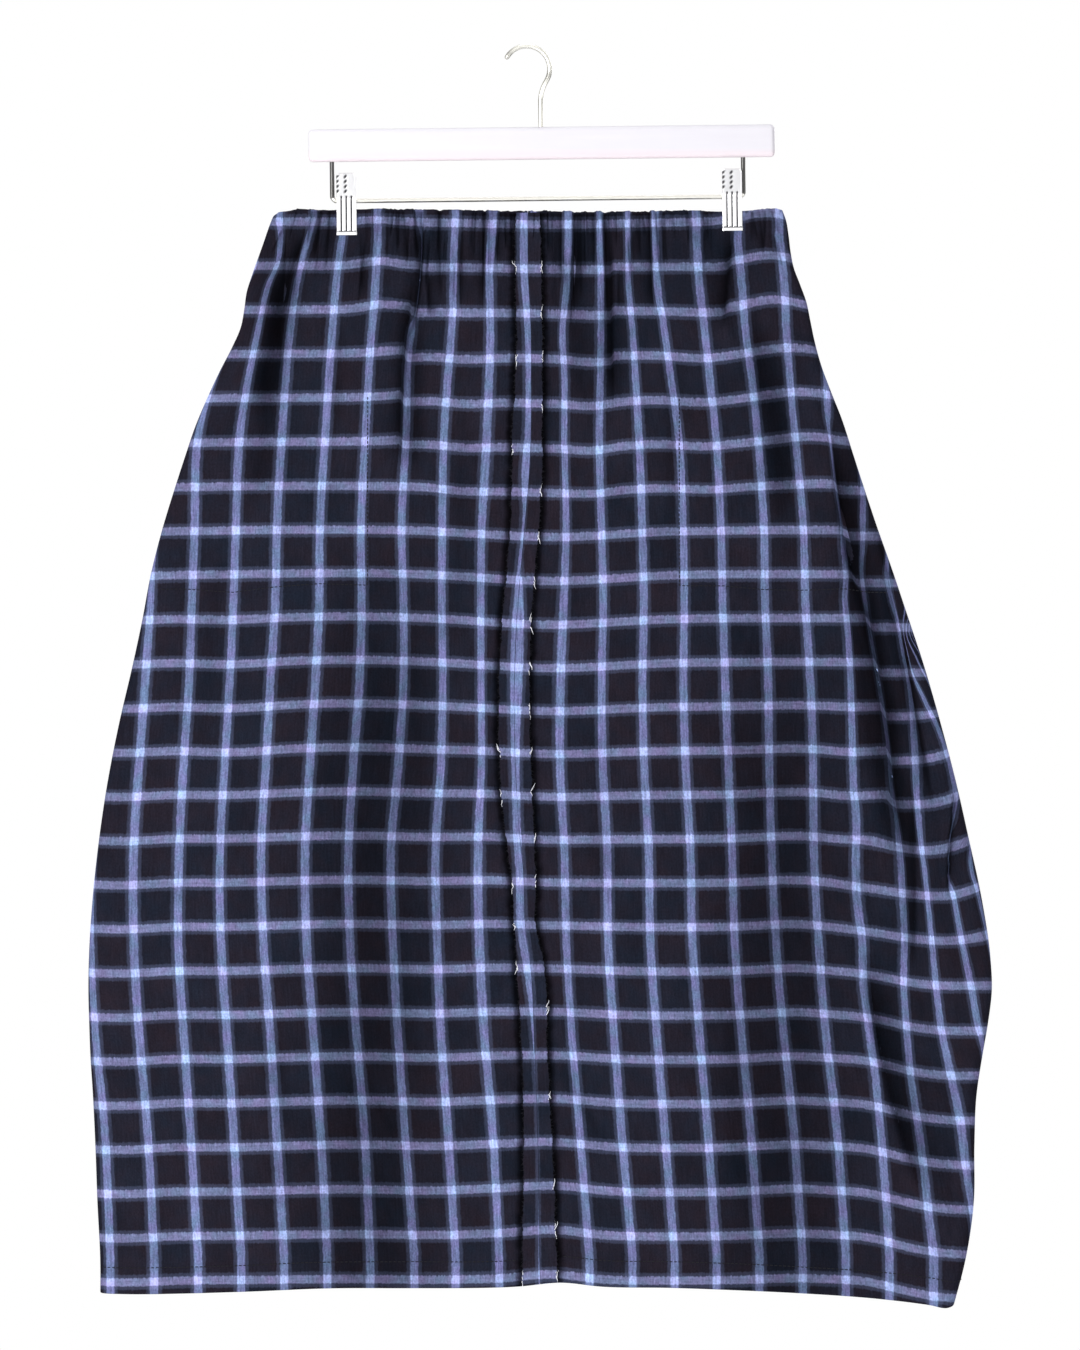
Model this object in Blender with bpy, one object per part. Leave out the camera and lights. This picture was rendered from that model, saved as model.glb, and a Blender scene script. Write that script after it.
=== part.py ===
"""Checked linen midi skirt, hung by its waist from a white bar hanger with two sliding clips.

Metres, +Z up. The front of the skirt faces -Y. The origin is the inside top of the hook,
where the hanger rests on its rail.

The skirt is a flattened tube, open at the waist and at the hem. A point on it is given by
its side (front or back), its way across (-1 at the left side seam, 0 at the centre-front
seam, 1 at the right side seam) and its way down (0 at the waist, 1 at the hem).
"""
import math
from collections import namedtuple

import bmesh
import bpy
import numpy as np
from mathutils import Matrix, Vector

# Cloth
GAP = 0.0003
CLOTH_WALL = 0.0012
CASING_WALL = 0.0026
HEM_WALL = 0.0020
CASING_DEPTH = 0.030
HEM_DEPTH = 0.020
STEP_DEPTH = 0.003
WAIST_Z = -0.1251
FRONT = -1
BACK = 1
SHARP_ANGLE = math.radians(40)

# The tube: half its depth from front to back, and the radius of its rounded sides
Section = namedtuple("Section", "drop left right half_depth side_radius")
SECTIONS = [
    Section(0.000, 0.1945, 0.1970, 0.0080, 0.0060),
    Section(0.026, 0.2044, 0.2014, 0.0100, 0.0062),
    Section(0.080, 0.2183, 0.2168, 0.0150, 0.0066),
    Section(0.138, 0.2437, 0.2322, 0.0190, 0.0072),
    Section(0.207, 0.2691, 0.2568, 0.0225, 0.0080),
    Section(0.276, 0.2884, 0.2807, 0.0250, 0.0088),
    Section(0.346, 0.3030, 0.3030, 0.0268, 0.0094),
    Section(0.438, 0.3230, 0.3284, 0.0282, 0.0100),
    Section(0.507, 0.3323, 0.3461, 0.0290, 0.0104),
    Section(0.590, 0.3376, 0.3577, 0.0292, 0.0106),
    Section(0.623, 0.3361, 0.3546, 0.0290, 0.0106),
    Section(0.680, 0.3340, 0.3455, 0.0288, 0.0104),
    Section(0.762, 0.3299, 0.3438, 0.0280, 0.0100),
    Section(0.808, 0.3278, 0.3376, 0.0275, 0.0100),
    Section(0.845, 0.3284, 0.3265, 0.0270, 0.0100),
]

# The waist's upper edge dips at its corners, and the hem is longest at the lower right
Edge = namedtuple("Edge", "across waist_dip length")
EDGES = [
    Edge(-1.00, 0.0070, 0.8316),
    Edge(-0.92, 0.0012, 0.8305),
    Edge(-0.80, -0.0012, 0.8295),
    Edge(-0.50, 0.0000, 0.8284),
    Edge(-0.05, 0.0014, 0.8270),
    Edge(0.05, 0.0013, 0.8240),
    Edge(0.14, 0.0012, 0.8266),
    Edge(0.30, 0.0008, 0.8275),
    Edge(0.60, 0.0004, 0.8315),
    Edge(0.92, 0.0006, 0.8390),
    Edge(1.00, 0.0048, 0.8425),
]
BACK_HEM_EXTRA = 0.0018

# The centre-front seam wanders, and its raw allowances lie open on the outside
Seam = namedtuple("Seam", "drop x allowance")
SEAM = [
    Seam(0.000, 0.0010, 0.0092),
    Seam(0.075, 0.0008, 0.0104),
    Seam(0.217, 0.0004, 0.0108),
    Seam(0.302, -0.0065, 0.0108),
    Seam(0.336, -0.0085, 0.0112),
    Seam(0.467, -0.0069, 0.0112),
    Seam(0.512, -0.0035, 0.0092),
    Seam(0.548, -0.0027, 0.0080),
    Seam(0.584, 0.0030, 0.0105),
    Seam(0.645, 0.0062, 0.0096),
    Seam(0.734, 0.0092, 0.0112),
    Seam(0.806, 0.0100, 0.0130),
    Seam(0.845, 0.0110, 0.0135),
]
ALLOWANCE_WALL = 0.0010

# Gathers of the waist: place along the waist, half width, height and length
Gather = namedtuple("Gather", "x width height length")
FRONT_GATHERS = [
    Gather(-0.178, 0.0060, 0.0022, 0.060),
    Gather(-0.163, 0.0060, 0.0020, 0.090),
    Gather(-0.119, 0.0065, 0.0016, 0.050),
    Gather(-0.103, 0.0065, 0.0022, 0.080),
    Gather(-0.087, 0.0060, 0.0026, 0.110),
    Gather(-0.073, 0.0060, 0.0018, 0.060),
    Gather(-0.058, 0.0065, 0.0022, 0.090),
    Gather(-0.044, 0.0055, 0.0024, 0.110),
    Gather(-0.032, 0.0050, 0.0020, 0.060),
    Gather(-0.019, 0.0055, 0.0024, 0.095),
    Gather(0.017, 0.0050, 0.0022, 0.070),
    Gather(0.029, 0.0055, 0.0026, 0.110),
    Gather(0.041, 0.0050, 0.0020, 0.060),
    Gather(0.053, 0.0055, 0.0024, 0.090),
    Gather(0.066, 0.0060, 0.0028, 0.120),
    Gather(0.080, 0.0055, 0.0020, 0.070),
    Gather(0.093, 0.0060, 0.0018, 0.060),
    Gather(0.108, 0.0065, 0.0020, 0.080),
    Gather(0.124, 0.0070, 0.0014, 0.050),
    Gather(0.180, 0.0060, 0.0018, 0.060),
]
BACK_GATHER_COUNT = 27
BACK_GATHER_SPREAD = 0.182
BACK_GATHER_WIDTH = 0.0058
BACK_GATHER_HEIGHTS = (0.0024, 0.0018, 0.0027, 0.0020, 0.0015)
BACK_GATHER_LENGTHS = (0.090, 0.060, 0.120, 0.075)
BACK_GATHER_SHIFT = 0.0016

# Folds and broad waves: where they run by drop and place, half width, and height outwards
Fold = namedtuple("Fold", "start end x_start x_middle x_end width height")
FRONT_FOLDS = [
    Fold(0.034, 0.150, -0.172, -0.184, -0.192, 0.0080, -0.0050),
    Fold(0.036, 0.110, -0.188, -0.200, -0.208, 0.0070, 0.0030),
    Fold(0.060, 0.215, -0.087, -0.087, -0.088, 0.0080, -0.0040),
    Fold(0.055, 0.150, 0.066, 0.067, 0.068, 0.0080, -0.0036),
    Fold(0.160, 0.530, 0.238, 0.262, 0.293, 0.0130, -0.0070),
    Fold(0.200, 0.560, 0.262, 0.288, 0.318, 0.0140, 0.0050),
    Fold(0.560, 0.760, 0.258, 0.274, 0.312, 0.0130, -0.0080),
    Fold(0.570, 0.800, 0.284, 0.300, 0.332, 0.0140, 0.0060),
    Fold(0.150, 1.000, -0.205, -0.225, -0.230, 0.0550, 0.0040),
    Fold(0.200, 1.000, -0.110, -0.118, -0.122, 0.0420, -0.0035),
    Fold(0.180, 1.000, 0.090, 0.105, 0.120, 0.0500, 0.0035),
    Fold(0.250, 1.000, 0.185, 0.195, 0.205, 0.0400, -0.0030),
]
BACK_FOLDS = [
    Fold(0.040, 0.180, 0.140, 0.146, 0.156, 0.0090, -0.0045),
    Fold(0.050, 0.210, -0.060, -0.064, -0.066, 0.0085, -0.0040),
    Fold(0.180, 0.560, -0.225, -0.250, -0.280, 0.0150, -0.0065),
    Fold(0.560, 0.790, -0.150, -0.162, -0.184, 0.0150, -0.0065),
    Fold(0.150, 1.000, 0.185, 0.205, 0.215, 0.0550, 0.0045),
    Fold(0.200, 1.000, 0.050, 0.056, 0.062, 0.0450, -0.0035),
    Fold(0.180, 1.000, -0.100, -0.110, -0.118, 0.0520, 0.0040),
]

# Where the clips press the two layers together
CLIP_PLACES = {"left": -0.1386, "right": 0.1583}
PINCH_HALF_DEPTH = 0.0033
PINCH_FLAT = 0.0095
PINCH_REACH = 0.030
PINCH_DROP_FLAT = 0.024
PINCH_DROP_REACH = 0.075

# Pocket bags, in the side seams, stitched flat to the fronts
POCKET_WALL = 0.0010
POCKET_TOP = 0.135
POCKET_BOTTOM = 0.290
POCKET_INNER = {"left": 0.1225, "right": 0.1170}

# Rows of points down the cloth, and the columns of a row by its drop
ROW_DROPS = [0.0, 0.012, CASING_DEPTH, CASING_DEPTH + STEP_DEPTH, 0.055, 0.078,
             0.105, POCKET_TOP, 0.160, 0.190, 0.225, 0.260, POCKET_BOTTOM, 0.335,
             0.380, 0.430, 0.480, 0.525, 0.565, 0.600, 0.640, 0.680, 0.725, 0.770]
Columns = namedtuple("Columns", "above left right back")
COLUMNS = [
    Columns(0.080, 40, 40, 72),
    Columns(0.192, 22, 24, 40),
    Columns(1.000, 14, 24, 30),
]
ARC_STEPS = 3
SIDE_FADE = 0.05
LENS_POWER = 1.5
FOLD_FADE = 0.3
SAMPLE_STEP = 1e-4
BESIDE_SEAM = 1e-3

# Hanger, in its own frame, which leans a little about the hook
HANGER_LEAN = math.radians(0.65)
BAR_LENGTH = 0.356
BAR_HEIGHT = 0.025
BAR_THICKNESS = 0.012
BAR_X = 0.0108
BAR_TOP = -0.0606
BAR_ROUND = 0.0015
BORE_CLEARANCE = 0.0004
BORE_SIDES = 12
HOOK_WIRE = 0.0038
HOOK_RADIUS = 0.0177
HOOK_TIP_ANGLE = math.radians(154)
HOOK_END_ANGLE = math.radians(-45)
HOOK_NECK_RADIUS = 0.0072
HOOK_IN_BAR = 0.018
HOOK_STEPS = 20
NECK_STEPS = 4
ROD_WIRE = 0.0035
ROD_Z = -0.1159
ROD_ENDS = (-0.1508, 0.1658)
ROD_BEND = 0.0040
ROD_IN_BAR = 0.012
ROD_BEND_STEPS = 5
WIRE_RESOLUTION = 2

# Clips: two pressed plates on a spring barrel that slides on the rod
CLIP_WIDTH = 0.016
CLIP_PLATE = 0.0012
CLIP_UP = 0.0208
CLIP_DOWN = 0.0277
CLIP_FLARE = 0.0100
CLIP_BEND_Z = 0.0020
BARREL_RADIUS = 0.0033
BARREL_LENGTH = 0.0090
BARREL_SIDES = 14

Look = namedtuple("Look", "colour roughness metallic")
LOOKS = {
    "checked_linen": Look((0.030, 0.032, 0.048), 0.85, 0.0),
    "pocket_linen": Look((0.025, 0.026, 0.036), 0.85, 0.0),
    "raw_linen": Look((0.060, 0.066, 0.110), 0.90, 0.0),
    "white_wood": Look((0.860, 0.820, 0.830), 0.45, 0.0),
    "chrome": Look((0.780, 0.780, 0.790), 0.15, 1.0),
}


def clear_scene():
    for item in list(bpy.data.objects):
        bpy.data.objects.remove(item, do_unlink=True)


def make_material(name):
    look = LOOKS[name]
    material = bpy.data.materials.new(name)
    material.use_nodes = True
    shader = material.node_tree.nodes["Principled BSDF"]
    shader.inputs["Base Color"].default_value = (*look.colour, 1.0)
    shader.inputs["Roughness"].default_value = look.roughness
    shader.inputs["Metallic"].default_value = look.metallic
    return material


def smooth_step(value):
    value = np.clip(value, 0.0, 1.0)
    return value * value * (3.0 - 2.0 * value)


def read(table, column, at):
    """One column of a table, on a smooth curve through its rows."""
    keys = np.array([row[0] for row in table])
    values = np.array([getattr(row, column) for row in table])
    slopes = np.gradient(values, keys)
    at = np.clip(at, keys[0], keys[-1])
    low = np.clip(np.searchsorted(keys, at, side="right") - 1, 0, len(keys) - 2)
    span = keys[low + 1] - keys[low]
    part = (at - keys[low]) / span
    left = 1.0 - part
    ends = values[low] * (1.0 + 2.0 * part) * left**2 + values[low + 1] * part**2 * (3.0 - 2.0 * part)
    return ends + span * (slopes[low] * part * left**2 - slopes[low + 1] * part**2 * left)


def back_gathers():
    """Even gathers of the hidden back, each a little off its place."""
    gathers = []
    for number in range(BACK_GATHER_COUNT):
        even = -1.0 + 2.0 * number / (BACK_GATHER_COUNT - 1)
        x = BACK_GATHER_SPREAD * even + BACK_GATHER_SHIFT * math.sin(2.4 * number)
        height = BACK_GATHER_HEIGHTS[number % len(BACK_GATHER_HEIGHTS)]
        length = BACK_GATHER_LENGTHS[number % len(BACK_GATHER_LENGTHS)]
        gathers.append(Gather(x, BACK_GATHER_WIDTH, height, length))
    return gathers


def pinch(x, drop):
    """1 between a clip's jaws, fading to 0 round them."""
    press = np.zeros_like(x)
    down = 1.0 - smooth_step((drop - PINCH_DROP_FLAT) / (PINCH_DROP_REACH - PINCH_DROP_FLAT))
    for place in CLIP_PLACES.values():
        away = np.abs(x - place)
        press = np.maximum(press, 1.0 - smooth_step((away - PINCH_FLAT) / (PINCH_REACH - PINCH_FLAT)))
    return press * down


def gather_relief(gathers, waist_x, drop):
    relief = np.zeros_like(waist_x)
    for gather in gathers:
        ridge = np.exp(-((waist_x - gather.x) / gather.width) ** 2)
        relief = relief + gather.height * ridge * (1.0 - smooth_step(drop / gather.length))
    return relief


def fold_relief(folds, x, drop):
    relief = np.zeros_like(x)
    for fold in folds:
        along = np.clip((drop - fold.start) / (fold.end - fold.start), 0.0, 1.0)
        first = fold.x_start * (1.0 - along) * (1.0 - 2.0 * along)
        middle = fold.x_middle * 4.0 * along * (1.0 - along)
        last = fold.x_end * along * (2.0 * along - 1.0)
        strength = smooth_step(along / FOLD_FADE) * smooth_step((1.0 - along) / FOLD_FADE)
        across = np.exp(-((x - first - middle - last) / fold.width) ** 2)
        relief = relief + fold.height * strength * across
    return relief


def cloth_length(side, across):
    """Length of the cloth down one line, a little more at the back."""
    extra = BACK_HEM_EXTRA * (1.0 - across**2) if side == BACK else 0.0
    return read(EDGES, "length", across) + extra


def edge_distance(across, drop):
    """From the seam to the side edge on that side, seen from the front."""
    seam = read(SEAM, "x", drop)
    left = read(SECTIONS, "left", drop) + seam
    right = read(SECTIONS, "right", drop) - seam
    return np.where(across < 0.0, left, right)


def half_girth(across, drop):
    """Length of the outer wall from the seam to the side edge."""
    radius = read(SECTIONS, "side_radius", drop)
    return edge_distance(across, drop) + radius * (math.pi / 2.0 - 1.0)


def outer_point(side, across, down):
    """Points of the skirt's outer surface, as an array with x, y and z last."""
    across = np.asarray(across, dtype=float)
    down = np.asarray(down, dtype=float)
    drop = down * cloth_length(side, across)
    seam = read(SEAM, "x", drop)
    radius = read(SECTIONS, "side_radius", drop)
    flat = edge_distance(across, drop) - radius
    away = np.abs(across) * half_girth(across, drop)
    sign = np.where(across < 0.0, -1.0, 1.0)
    turn = np.clip((away - flat) / radius, 0.0, math.pi / 2.0)
    x = seam + sign * (np.minimum(away, flat) + radius * np.sin(turn))

    inward = np.clip(away / flat, 0.0, 1.0)
    lens = (1.0 - inward**2) ** LENS_POWER
    depth = radius + (read(SECTIONS, "half_depth", drop) - radius) * lens
    waist_x = x * edge_distance(across, np.zeros_like(drop)) / edge_distance(across, drop)
    gathers = FRONT_GATHERS if side == FRONT else back_gathers()
    folds = FRONT_FOLDS if side == FRONT else BACK_FOLDS
    relief = gather_relief(gathers, waist_x, drop) + fold_relief(folds, x, drop)
    fade = smooth_step((1.0 - inward) / SIDE_FADE)
    press = pinch(x, drop)
    depth = (depth + relief * fade) * (1.0 - press) + PINCH_HALF_DEPTH * press
    y = side * depth * np.cos(turn)
    z = WAIST_Z - read(EDGES, "waist_dip", across) * (1.0 - down) - drop
    return np.stack([x, y, z], axis=-1)


def outer_normal(side, across, down):
    """Directions out of the cloth, from points a little to each side."""
    step = SAMPLE_STEP
    along_x = outer_point(side, across + step, down) - outer_point(side, across - step, down)
    along_z = outer_point(side, across, down + step) - outer_point(side, across, down - step)
    normal = np.cross(along_x, along_z) * side
    return normal / np.linalg.norm(normal, axis=-1, keepdims=True)


def wall(side, across, down):
    """Thickness of the cloth, doubled at the casing and the hem."""
    length = cloth_length(side, across)
    drop = down * length
    casing = 1.0 - smooth_step((drop - CASING_DEPTH) / STEP_DEPTH)
    hem = smooth_step((drop - length + HEM_DEPTH + STEP_DEPTH) / STEP_DEPTH)
    return CLOTH_WALL + (CASING_WALL - CLOTH_WALL) * casing + (HEM_WALL - CLOTH_WALL) * hem


def row_downs():
    """Way down of each row of points, with a close pair where the hem begins."""
    longest = max(edge.length for edge in EDGES)
    rows = [drop / longest for drop in ROW_DROPS]
    rows.append(1.0 - (HEM_DEPTH + STEP_DEPTH) / longest)
    rows.append(1.0 - HEM_DEPTH / longest)
    rows.append(1.0)
    return rows


def column_count(down, panel):
    drop = down * max(edge.length for edge in EDGES)
    for columns in COLUMNS:
        if drop <= columns.above:
            return getattr(columns, panel)
    return getattr(COLUMNS[-1], panel)


def front_columns(down, panel):
    """Ways across one front's row, from the centre-front seam to its side edge."""
    sign = -1.0 if panel == "left" else 1.0
    near = sign * BESIDE_SEAM
    drop = float(down * cloth_length(FRONT, near))
    girth = float(half_girth(near, drop))
    radius = float(read(SECTIONS, "side_radius", drop))
    allowance = float(read(SEAM, "allowance", drop))
    flat = girth - radius * math.pi / 2.0
    places = [GAP / 2.0, allowance / 2.0, allowance]
    count = column_count(down, panel)
    for number in range(1, count + 1):
        places.append(allowance + (flat - allowance) * number / count)
    seam = float(read(SEAM, "x", drop))
    if POCKET_TOP - GAP <= drop <= POCKET_BOTTOM + GAP:
        inner = POCKET_INNER[panel] + (seam if panel == "left" else -seam)
        nearest = min(range(3, len(places)), key=lambda index: abs(places[index] - inner))
        places[nearest] = inner
    for number in range(1, ARC_STEPS + 1):
        places.append(flat + radius * math.pi / 2.0 * number / ARC_STEPS)
    places[-1] = girth - GAP / 2.0
    return [sign * place / girth for place in places]


def back_columns(down):
    """Ways across the back's row, from the left side edge to the right one."""
    half = column_count(down, "back") // 2
    row = []
    for sign in (-1.0, 1.0):
        near = sign * BESIDE_SEAM
        drop = float(down * cloth_length(BACK, near))
        girth = float(half_girth(near, drop))
        radius = float(read(SECTIONS, "side_radius", drop))
        flat = girth - radius * math.pi / 2.0
        places = [flat * number / half for number in range(half + 1)]
        for number in range(1, ARC_STEPS + 1):
            places.append(flat + radius * math.pi / 2.0 * number / ARC_STEPS)
        places[-1] = girth - GAP / 2.0
        ways = [sign * place / girth for place in places]
        row = ways[::-1] if sign < 0.0 else row + ways[1:]
    return row


def between_rows(upper, lower):
    """Triangles between two rows, as index pairs (row, column), with any number of columns."""
    triangles = []
    high, low = 0, 0
    reach = [abs(way) for way in upper], [abs(way) for way in lower]
    if upper[0] < 0.0 < upper[-1]:
        reach = upper, lower
    while high < len(upper) - 1 or low < len(lower) - 1:
        next_high = reach[0][high + 1] if high < len(upper) - 1 else math.inf
        next_low = reach[1][low + 1] if low < len(lower) - 1 else math.inf
        if next_high <= next_low:
            triangles.append(((0, high), (0, high + 1), (1, low)))
            high += 1
        else:
            triangles.append(((0, high), (1, low + 1), (1, low)))
            low += 1
    return triangles


def make_sheet(name, side, rows, raise_outer, raise_inner, material):
    """A closed wall of cloth through rows of (down, ways across), between two raised surfaces."""
    mesh = bmesh.new()
    skins = []
    for raise_skin in (raise_outer, raise_inner):
        skin = []
        for down, ways in rows:
            across = np.array(ways)
            downs = np.full_like(across, down)
            points = outer_point(side, across, downs)
            points = points + outer_normal(side, across, downs) * raise_skin(side, across, downs)[:, None]
            skin.append([mesh.verts.new(Vector(point)) for point in points])
        skins.append(skin)
    for index in range(len(rows) - 1):
        for corners in between_rows(rows[index][1], rows[index + 1][1]):
            for skin in skins:
                mesh.faces.new([skin[index + row][column] for row, column in corners])
    outer, inner = skins
    rims = [(outer[0], inner[0]), (outer[-1], inner[-1])]
    rims.append(([row[0] for row in outer], [row[0] for row in inner]))
    rims.append(([row[-1] for row in outer], [row[-1] for row in inner]))
    for outside, inside in rims:
        for index in range(len(outside) - 1):
            mesh.faces.new((outside[index], outside[index + 1], inside[index + 1], inside[index]))
    bmesh.ops.recalc_face_normals(mesh, faces=mesh.faces)
    return add_object(name, mesh, material)


def add_object(name, mesh, material, parent=None):
    data = bpy.data.meshes.new(name)
    mesh.to_mesh(data)
    mesh.free()
    item = bpy.data.objects.new(name, data)
    item.data.materials.append(material)
    item.parent = parent
    bpy.context.collection.objects.link(item)
    data.shade_smooth()
    data.set_sharp_from_angle(angle=SHARP_ANGLE)
    return item


def flat_raise(height):
    return lambda side, across, downs: np.full_like(across, height)


def under_wall(height):
    return lambda side, across, downs: -wall(side, across, downs) - height


def make_fronts():
    for panel in ("left", "right"):
        rows = [(down, front_columns(down, panel)) for down in row_downs()]
        linen = make_material("checked_linen")
        make_sheet(f"front_{panel}", FRONT, rows, flat_raise(0.0), under_wall(0.0), linen)
        strip = [(down, ways[:3]) for down, ways in rows]
        raw = make_material("raw_linen")
        make_sheet(f"seam_allowance_{panel}", FRONT, strip,
                   flat_raise(GAP + ALLOWANCE_WALL), flat_raise(GAP), raw)
        make_pocket(panel, rows)


def make_pocket(panel, rows):
    """A bag lying flat behind its front, on the front's own points, open at the side seam."""
    bag = []
    for down, ways in rows:
        drop = float(down * cloth_length(FRONT, ways[0]))
        if not POCKET_TOP - GAP <= drop <= POCKET_BOTTOM + GAP:
            continue
        seam = float(read(SEAM, "x", drop))
        inner = POCKET_INNER[panel] + (seam if panel == "left" else -seam) - GAP
        girth = float(half_girth(ways[0], drop))
        bag.append((down, [way for way in ways if abs(way) * girth >= inner]))
    linen = make_material("pocket_linen")
    make_sheet(f"pocket_bag_{panel}", FRONT, bag,
               under_wall(GAP), under_wall(GAP + POCKET_WALL), linen)


def make_back():
    rows = [(down, back_columns(down)) for down in row_downs()]
    make_sheet("back", BACK, rows, flat_raise(0.0), under_wall(0.0), make_material("checked_linen"))


def make_wire(name, points, diameter, parent):
    """A round wire through points, closed at its ends."""
    curve = bpy.data.curves.new(name, "CURVE")
    curve.dimensions = "3D"
    curve.bevel_depth = diameter / 2.0
    curve.bevel_resolution = WIRE_RESOLUTION
    curve.use_fill_caps = True
    spline = curve.splines.new("POLY")
    spline.points.add(len(points) - 1)
    for slot, point in zip(spline.points, points):
        slot.co = (*point, 1.0)
    curve.materials.append(make_material("chrome"))
    item = bpy.data.objects.new(name, curve)
    item.parent = parent
    bpy.context.collection.objects.link(item)


def arc(centre_x, centre_z, radius, start, end, steps):
    """Points on an arc in the hanger's plane, angles from +X towards +Z."""
    points = []
    for number in range(steps + 1):
        angle = start + (end - start) * number / steps
        points.append((centre_x + radius * math.cos(angle), 0.0, centre_z + radius * math.sin(angle)))
    return points


def shaft_x():
    return HOOK_RADIUS * math.cos(HOOK_END_ANGLE) - HOOK_NECK_RADIUS * (1.0 - math.cos(HOOK_END_ANGLE))


def make_hook(parent):
    centre_z = HOOK_WIRE / 2.0 - HOOK_RADIUS
    points = arc(0.0, centre_z, HOOK_RADIUS, HOOK_TIP_ANGLE, HOOK_END_ANGLE, HOOK_STEPS)
    neck_x = points[-1][0] + HOOK_NECK_RADIUS * math.cos(HOOK_END_ANGLE)
    neck_z = points[-1][2] + HOOK_NECK_RADIUS * math.sin(HOOK_END_ANGLE)
    points += arc(neck_x, neck_z, HOOK_NECK_RADIUS, math.pi + HOOK_END_ANGLE, math.pi, NECK_STEPS)[1:]
    bottom = BAR_TOP - HOOK_IN_BAR
    points.append((points[-1][0], 0.0, bottom))
    make_wire("hanger_hook", points, HOOK_WIRE, parent)


def make_rod(parent):
    left, right = ROD_ENDS
    top = BAR_TOP - BAR_HEIGHT + ROD_IN_BAR
    points = [(left, 0.0, top)]
    points += arc(left + ROD_BEND, ROD_Z + ROD_BEND, ROD_BEND, math.pi, 1.5 * math.pi, ROD_BEND_STEPS)
    points += arc(right - ROD_BEND, ROD_Z + ROD_BEND, ROD_BEND, -0.5 * math.pi, 0.0, ROD_BEND_STEPS)
    points.append((right, 0.0, top))
    make_wire("hanger_rod", points, ROD_WIRE, parent)


def bore_cutter(x, z, reach, diameter):
    """A cylinder that cuts a blind bore along Z, from z on by reach."""
    mesh = bmesh.new()
    radius = diameter / 2.0 + BORE_CLEARANCE
    bmesh.ops.create_cone(mesh, cap_ends=True, segments=BORE_SIDES, radius1=radius, radius2=radius,
                          depth=abs(reach) * 2.0)
    bmesh.ops.translate(mesh, verts=mesh.verts, vec=(x, 0.0, z))
    return mesh


def make_bar(parent):
    """The wooden bar, with its arrises rounded and bores for the hook and the rod's ends."""
    mesh = bmesh.new()
    bmesh.ops.create_cube(mesh, size=1.0)
    bmesh.ops.scale(mesh, vec=(BAR_LENGTH, BAR_THICKNESS, BAR_HEIGHT), verts=mesh.verts)
    bmesh.ops.translate(mesh, verts=mesh.verts, vec=(BAR_X, 0.0, BAR_TOP - BAR_HEIGHT / 2.0))
    bmesh.ops.bevel(mesh, geom=list(mesh.edges), offset=BAR_ROUND, segments=2, profile=0.5,
                    affect="EDGES")
    bar = add_object("hanger_bar", mesh, make_material("white_wood"), parent)
    bores = [(shaft_x(), BAR_TOP, HOOK_IN_BAR + GAP, HOOK_WIRE)]
    bores += [(x, BAR_TOP - BAR_HEIGHT, ROD_IN_BAR + GAP, ROD_WIRE) for x in ROD_ENDS]
    for number, (x, z, reach, diameter) in enumerate(bores):
        cutter = add_object(f"bore_{number}", bore_cutter(x, z, reach, diameter), bar.data.materials[0],
                            parent)
        cutter.hide_render = True
        cutter.display_type = "WIRE"
        cut = bar.modifiers.new(f"bore_{number}", "BOOLEAN")
        cut.operation = "DIFFERENCE"
        cut.object = cutter


def jaw_line(side):
    """Inner face of a jaw from its lip up to its finger end, as (y, z) from the rod."""
    grip = PINCH_HALF_DEPTH + GAP
    waist = BARREL_RADIUS + GAP
    line = [(grip, -CLIP_DOWN), (grip, -CLIP_DOWN / 2.0), (waist, -BARREL_RADIUS),
            (waist, CLIP_BEND_Z), (CLIP_FLARE, CLIP_UP)]
    return [(side * y, z) for y, z in line]


def make_jaw(name, place, side, parent):
    mesh = bmesh.new()
    inner = jaw_line(side)
    rows = []
    for offset in (0.0, side * CLIP_PLATE):
        for x in (place - CLIP_WIDTH / 2.0, place + CLIP_WIDTH / 2.0):
            rows.append([mesh.verts.new((x, y + offset, ROD_Z + z)) for y, z in inner])
    inner_left, inner_right, outer_left, outer_right = rows
    for one, other in ((inner_left, inner_right), (outer_left, outer_right),
                       (inner_left, outer_left), (inner_right, outer_right)):
        for index in range(len(inner) - 1):
            mesh.faces.new((one[index], one[index + 1], other[index + 1], other[index]))
    for index in (0, -1):
        mesh.faces.new((inner_left[index], inner_right[index], outer_right[index], outer_left[index]))
    bmesh.ops.recalc_face_normals(mesh, faces=mesh.faces)
    add_object(name, mesh, make_material("chrome"), parent)


def make_barrel(name, place, parent):
    """The spring barrel, a short tube that slides on the rod."""
    mesh = bmesh.new()
    rings = []
    for x in (place - BARREL_LENGTH / 2.0, place + BARREL_LENGTH / 2.0):
        for radius in (ROD_WIRE / 2.0 + GAP, BARREL_RADIUS):
            ring = []
            for number in range(BARREL_SIDES):
                angle = 2.0 * math.pi * number / BARREL_SIDES
                ring.append(mesh.verts.new((x, radius * math.cos(angle), ROD_Z + radius * math.sin(angle))))
            rings.append(ring)
    near_inner, near_outer, far_inner, far_outer = rings
    for one, other in ((near_inner, near_outer), (near_outer, far_outer),
                       (far_outer, far_inner), (far_inner, near_inner)):
        for index in range(BARREL_SIDES):
            after = (index + 1) % BARREL_SIDES
            mesh.faces.new((one[index], one[after], other[after], other[index]))
    bmesh.ops.recalc_face_normals(mesh, faces=mesh.faces)
    add_object(name, mesh, make_material("chrome"), parent)


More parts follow.
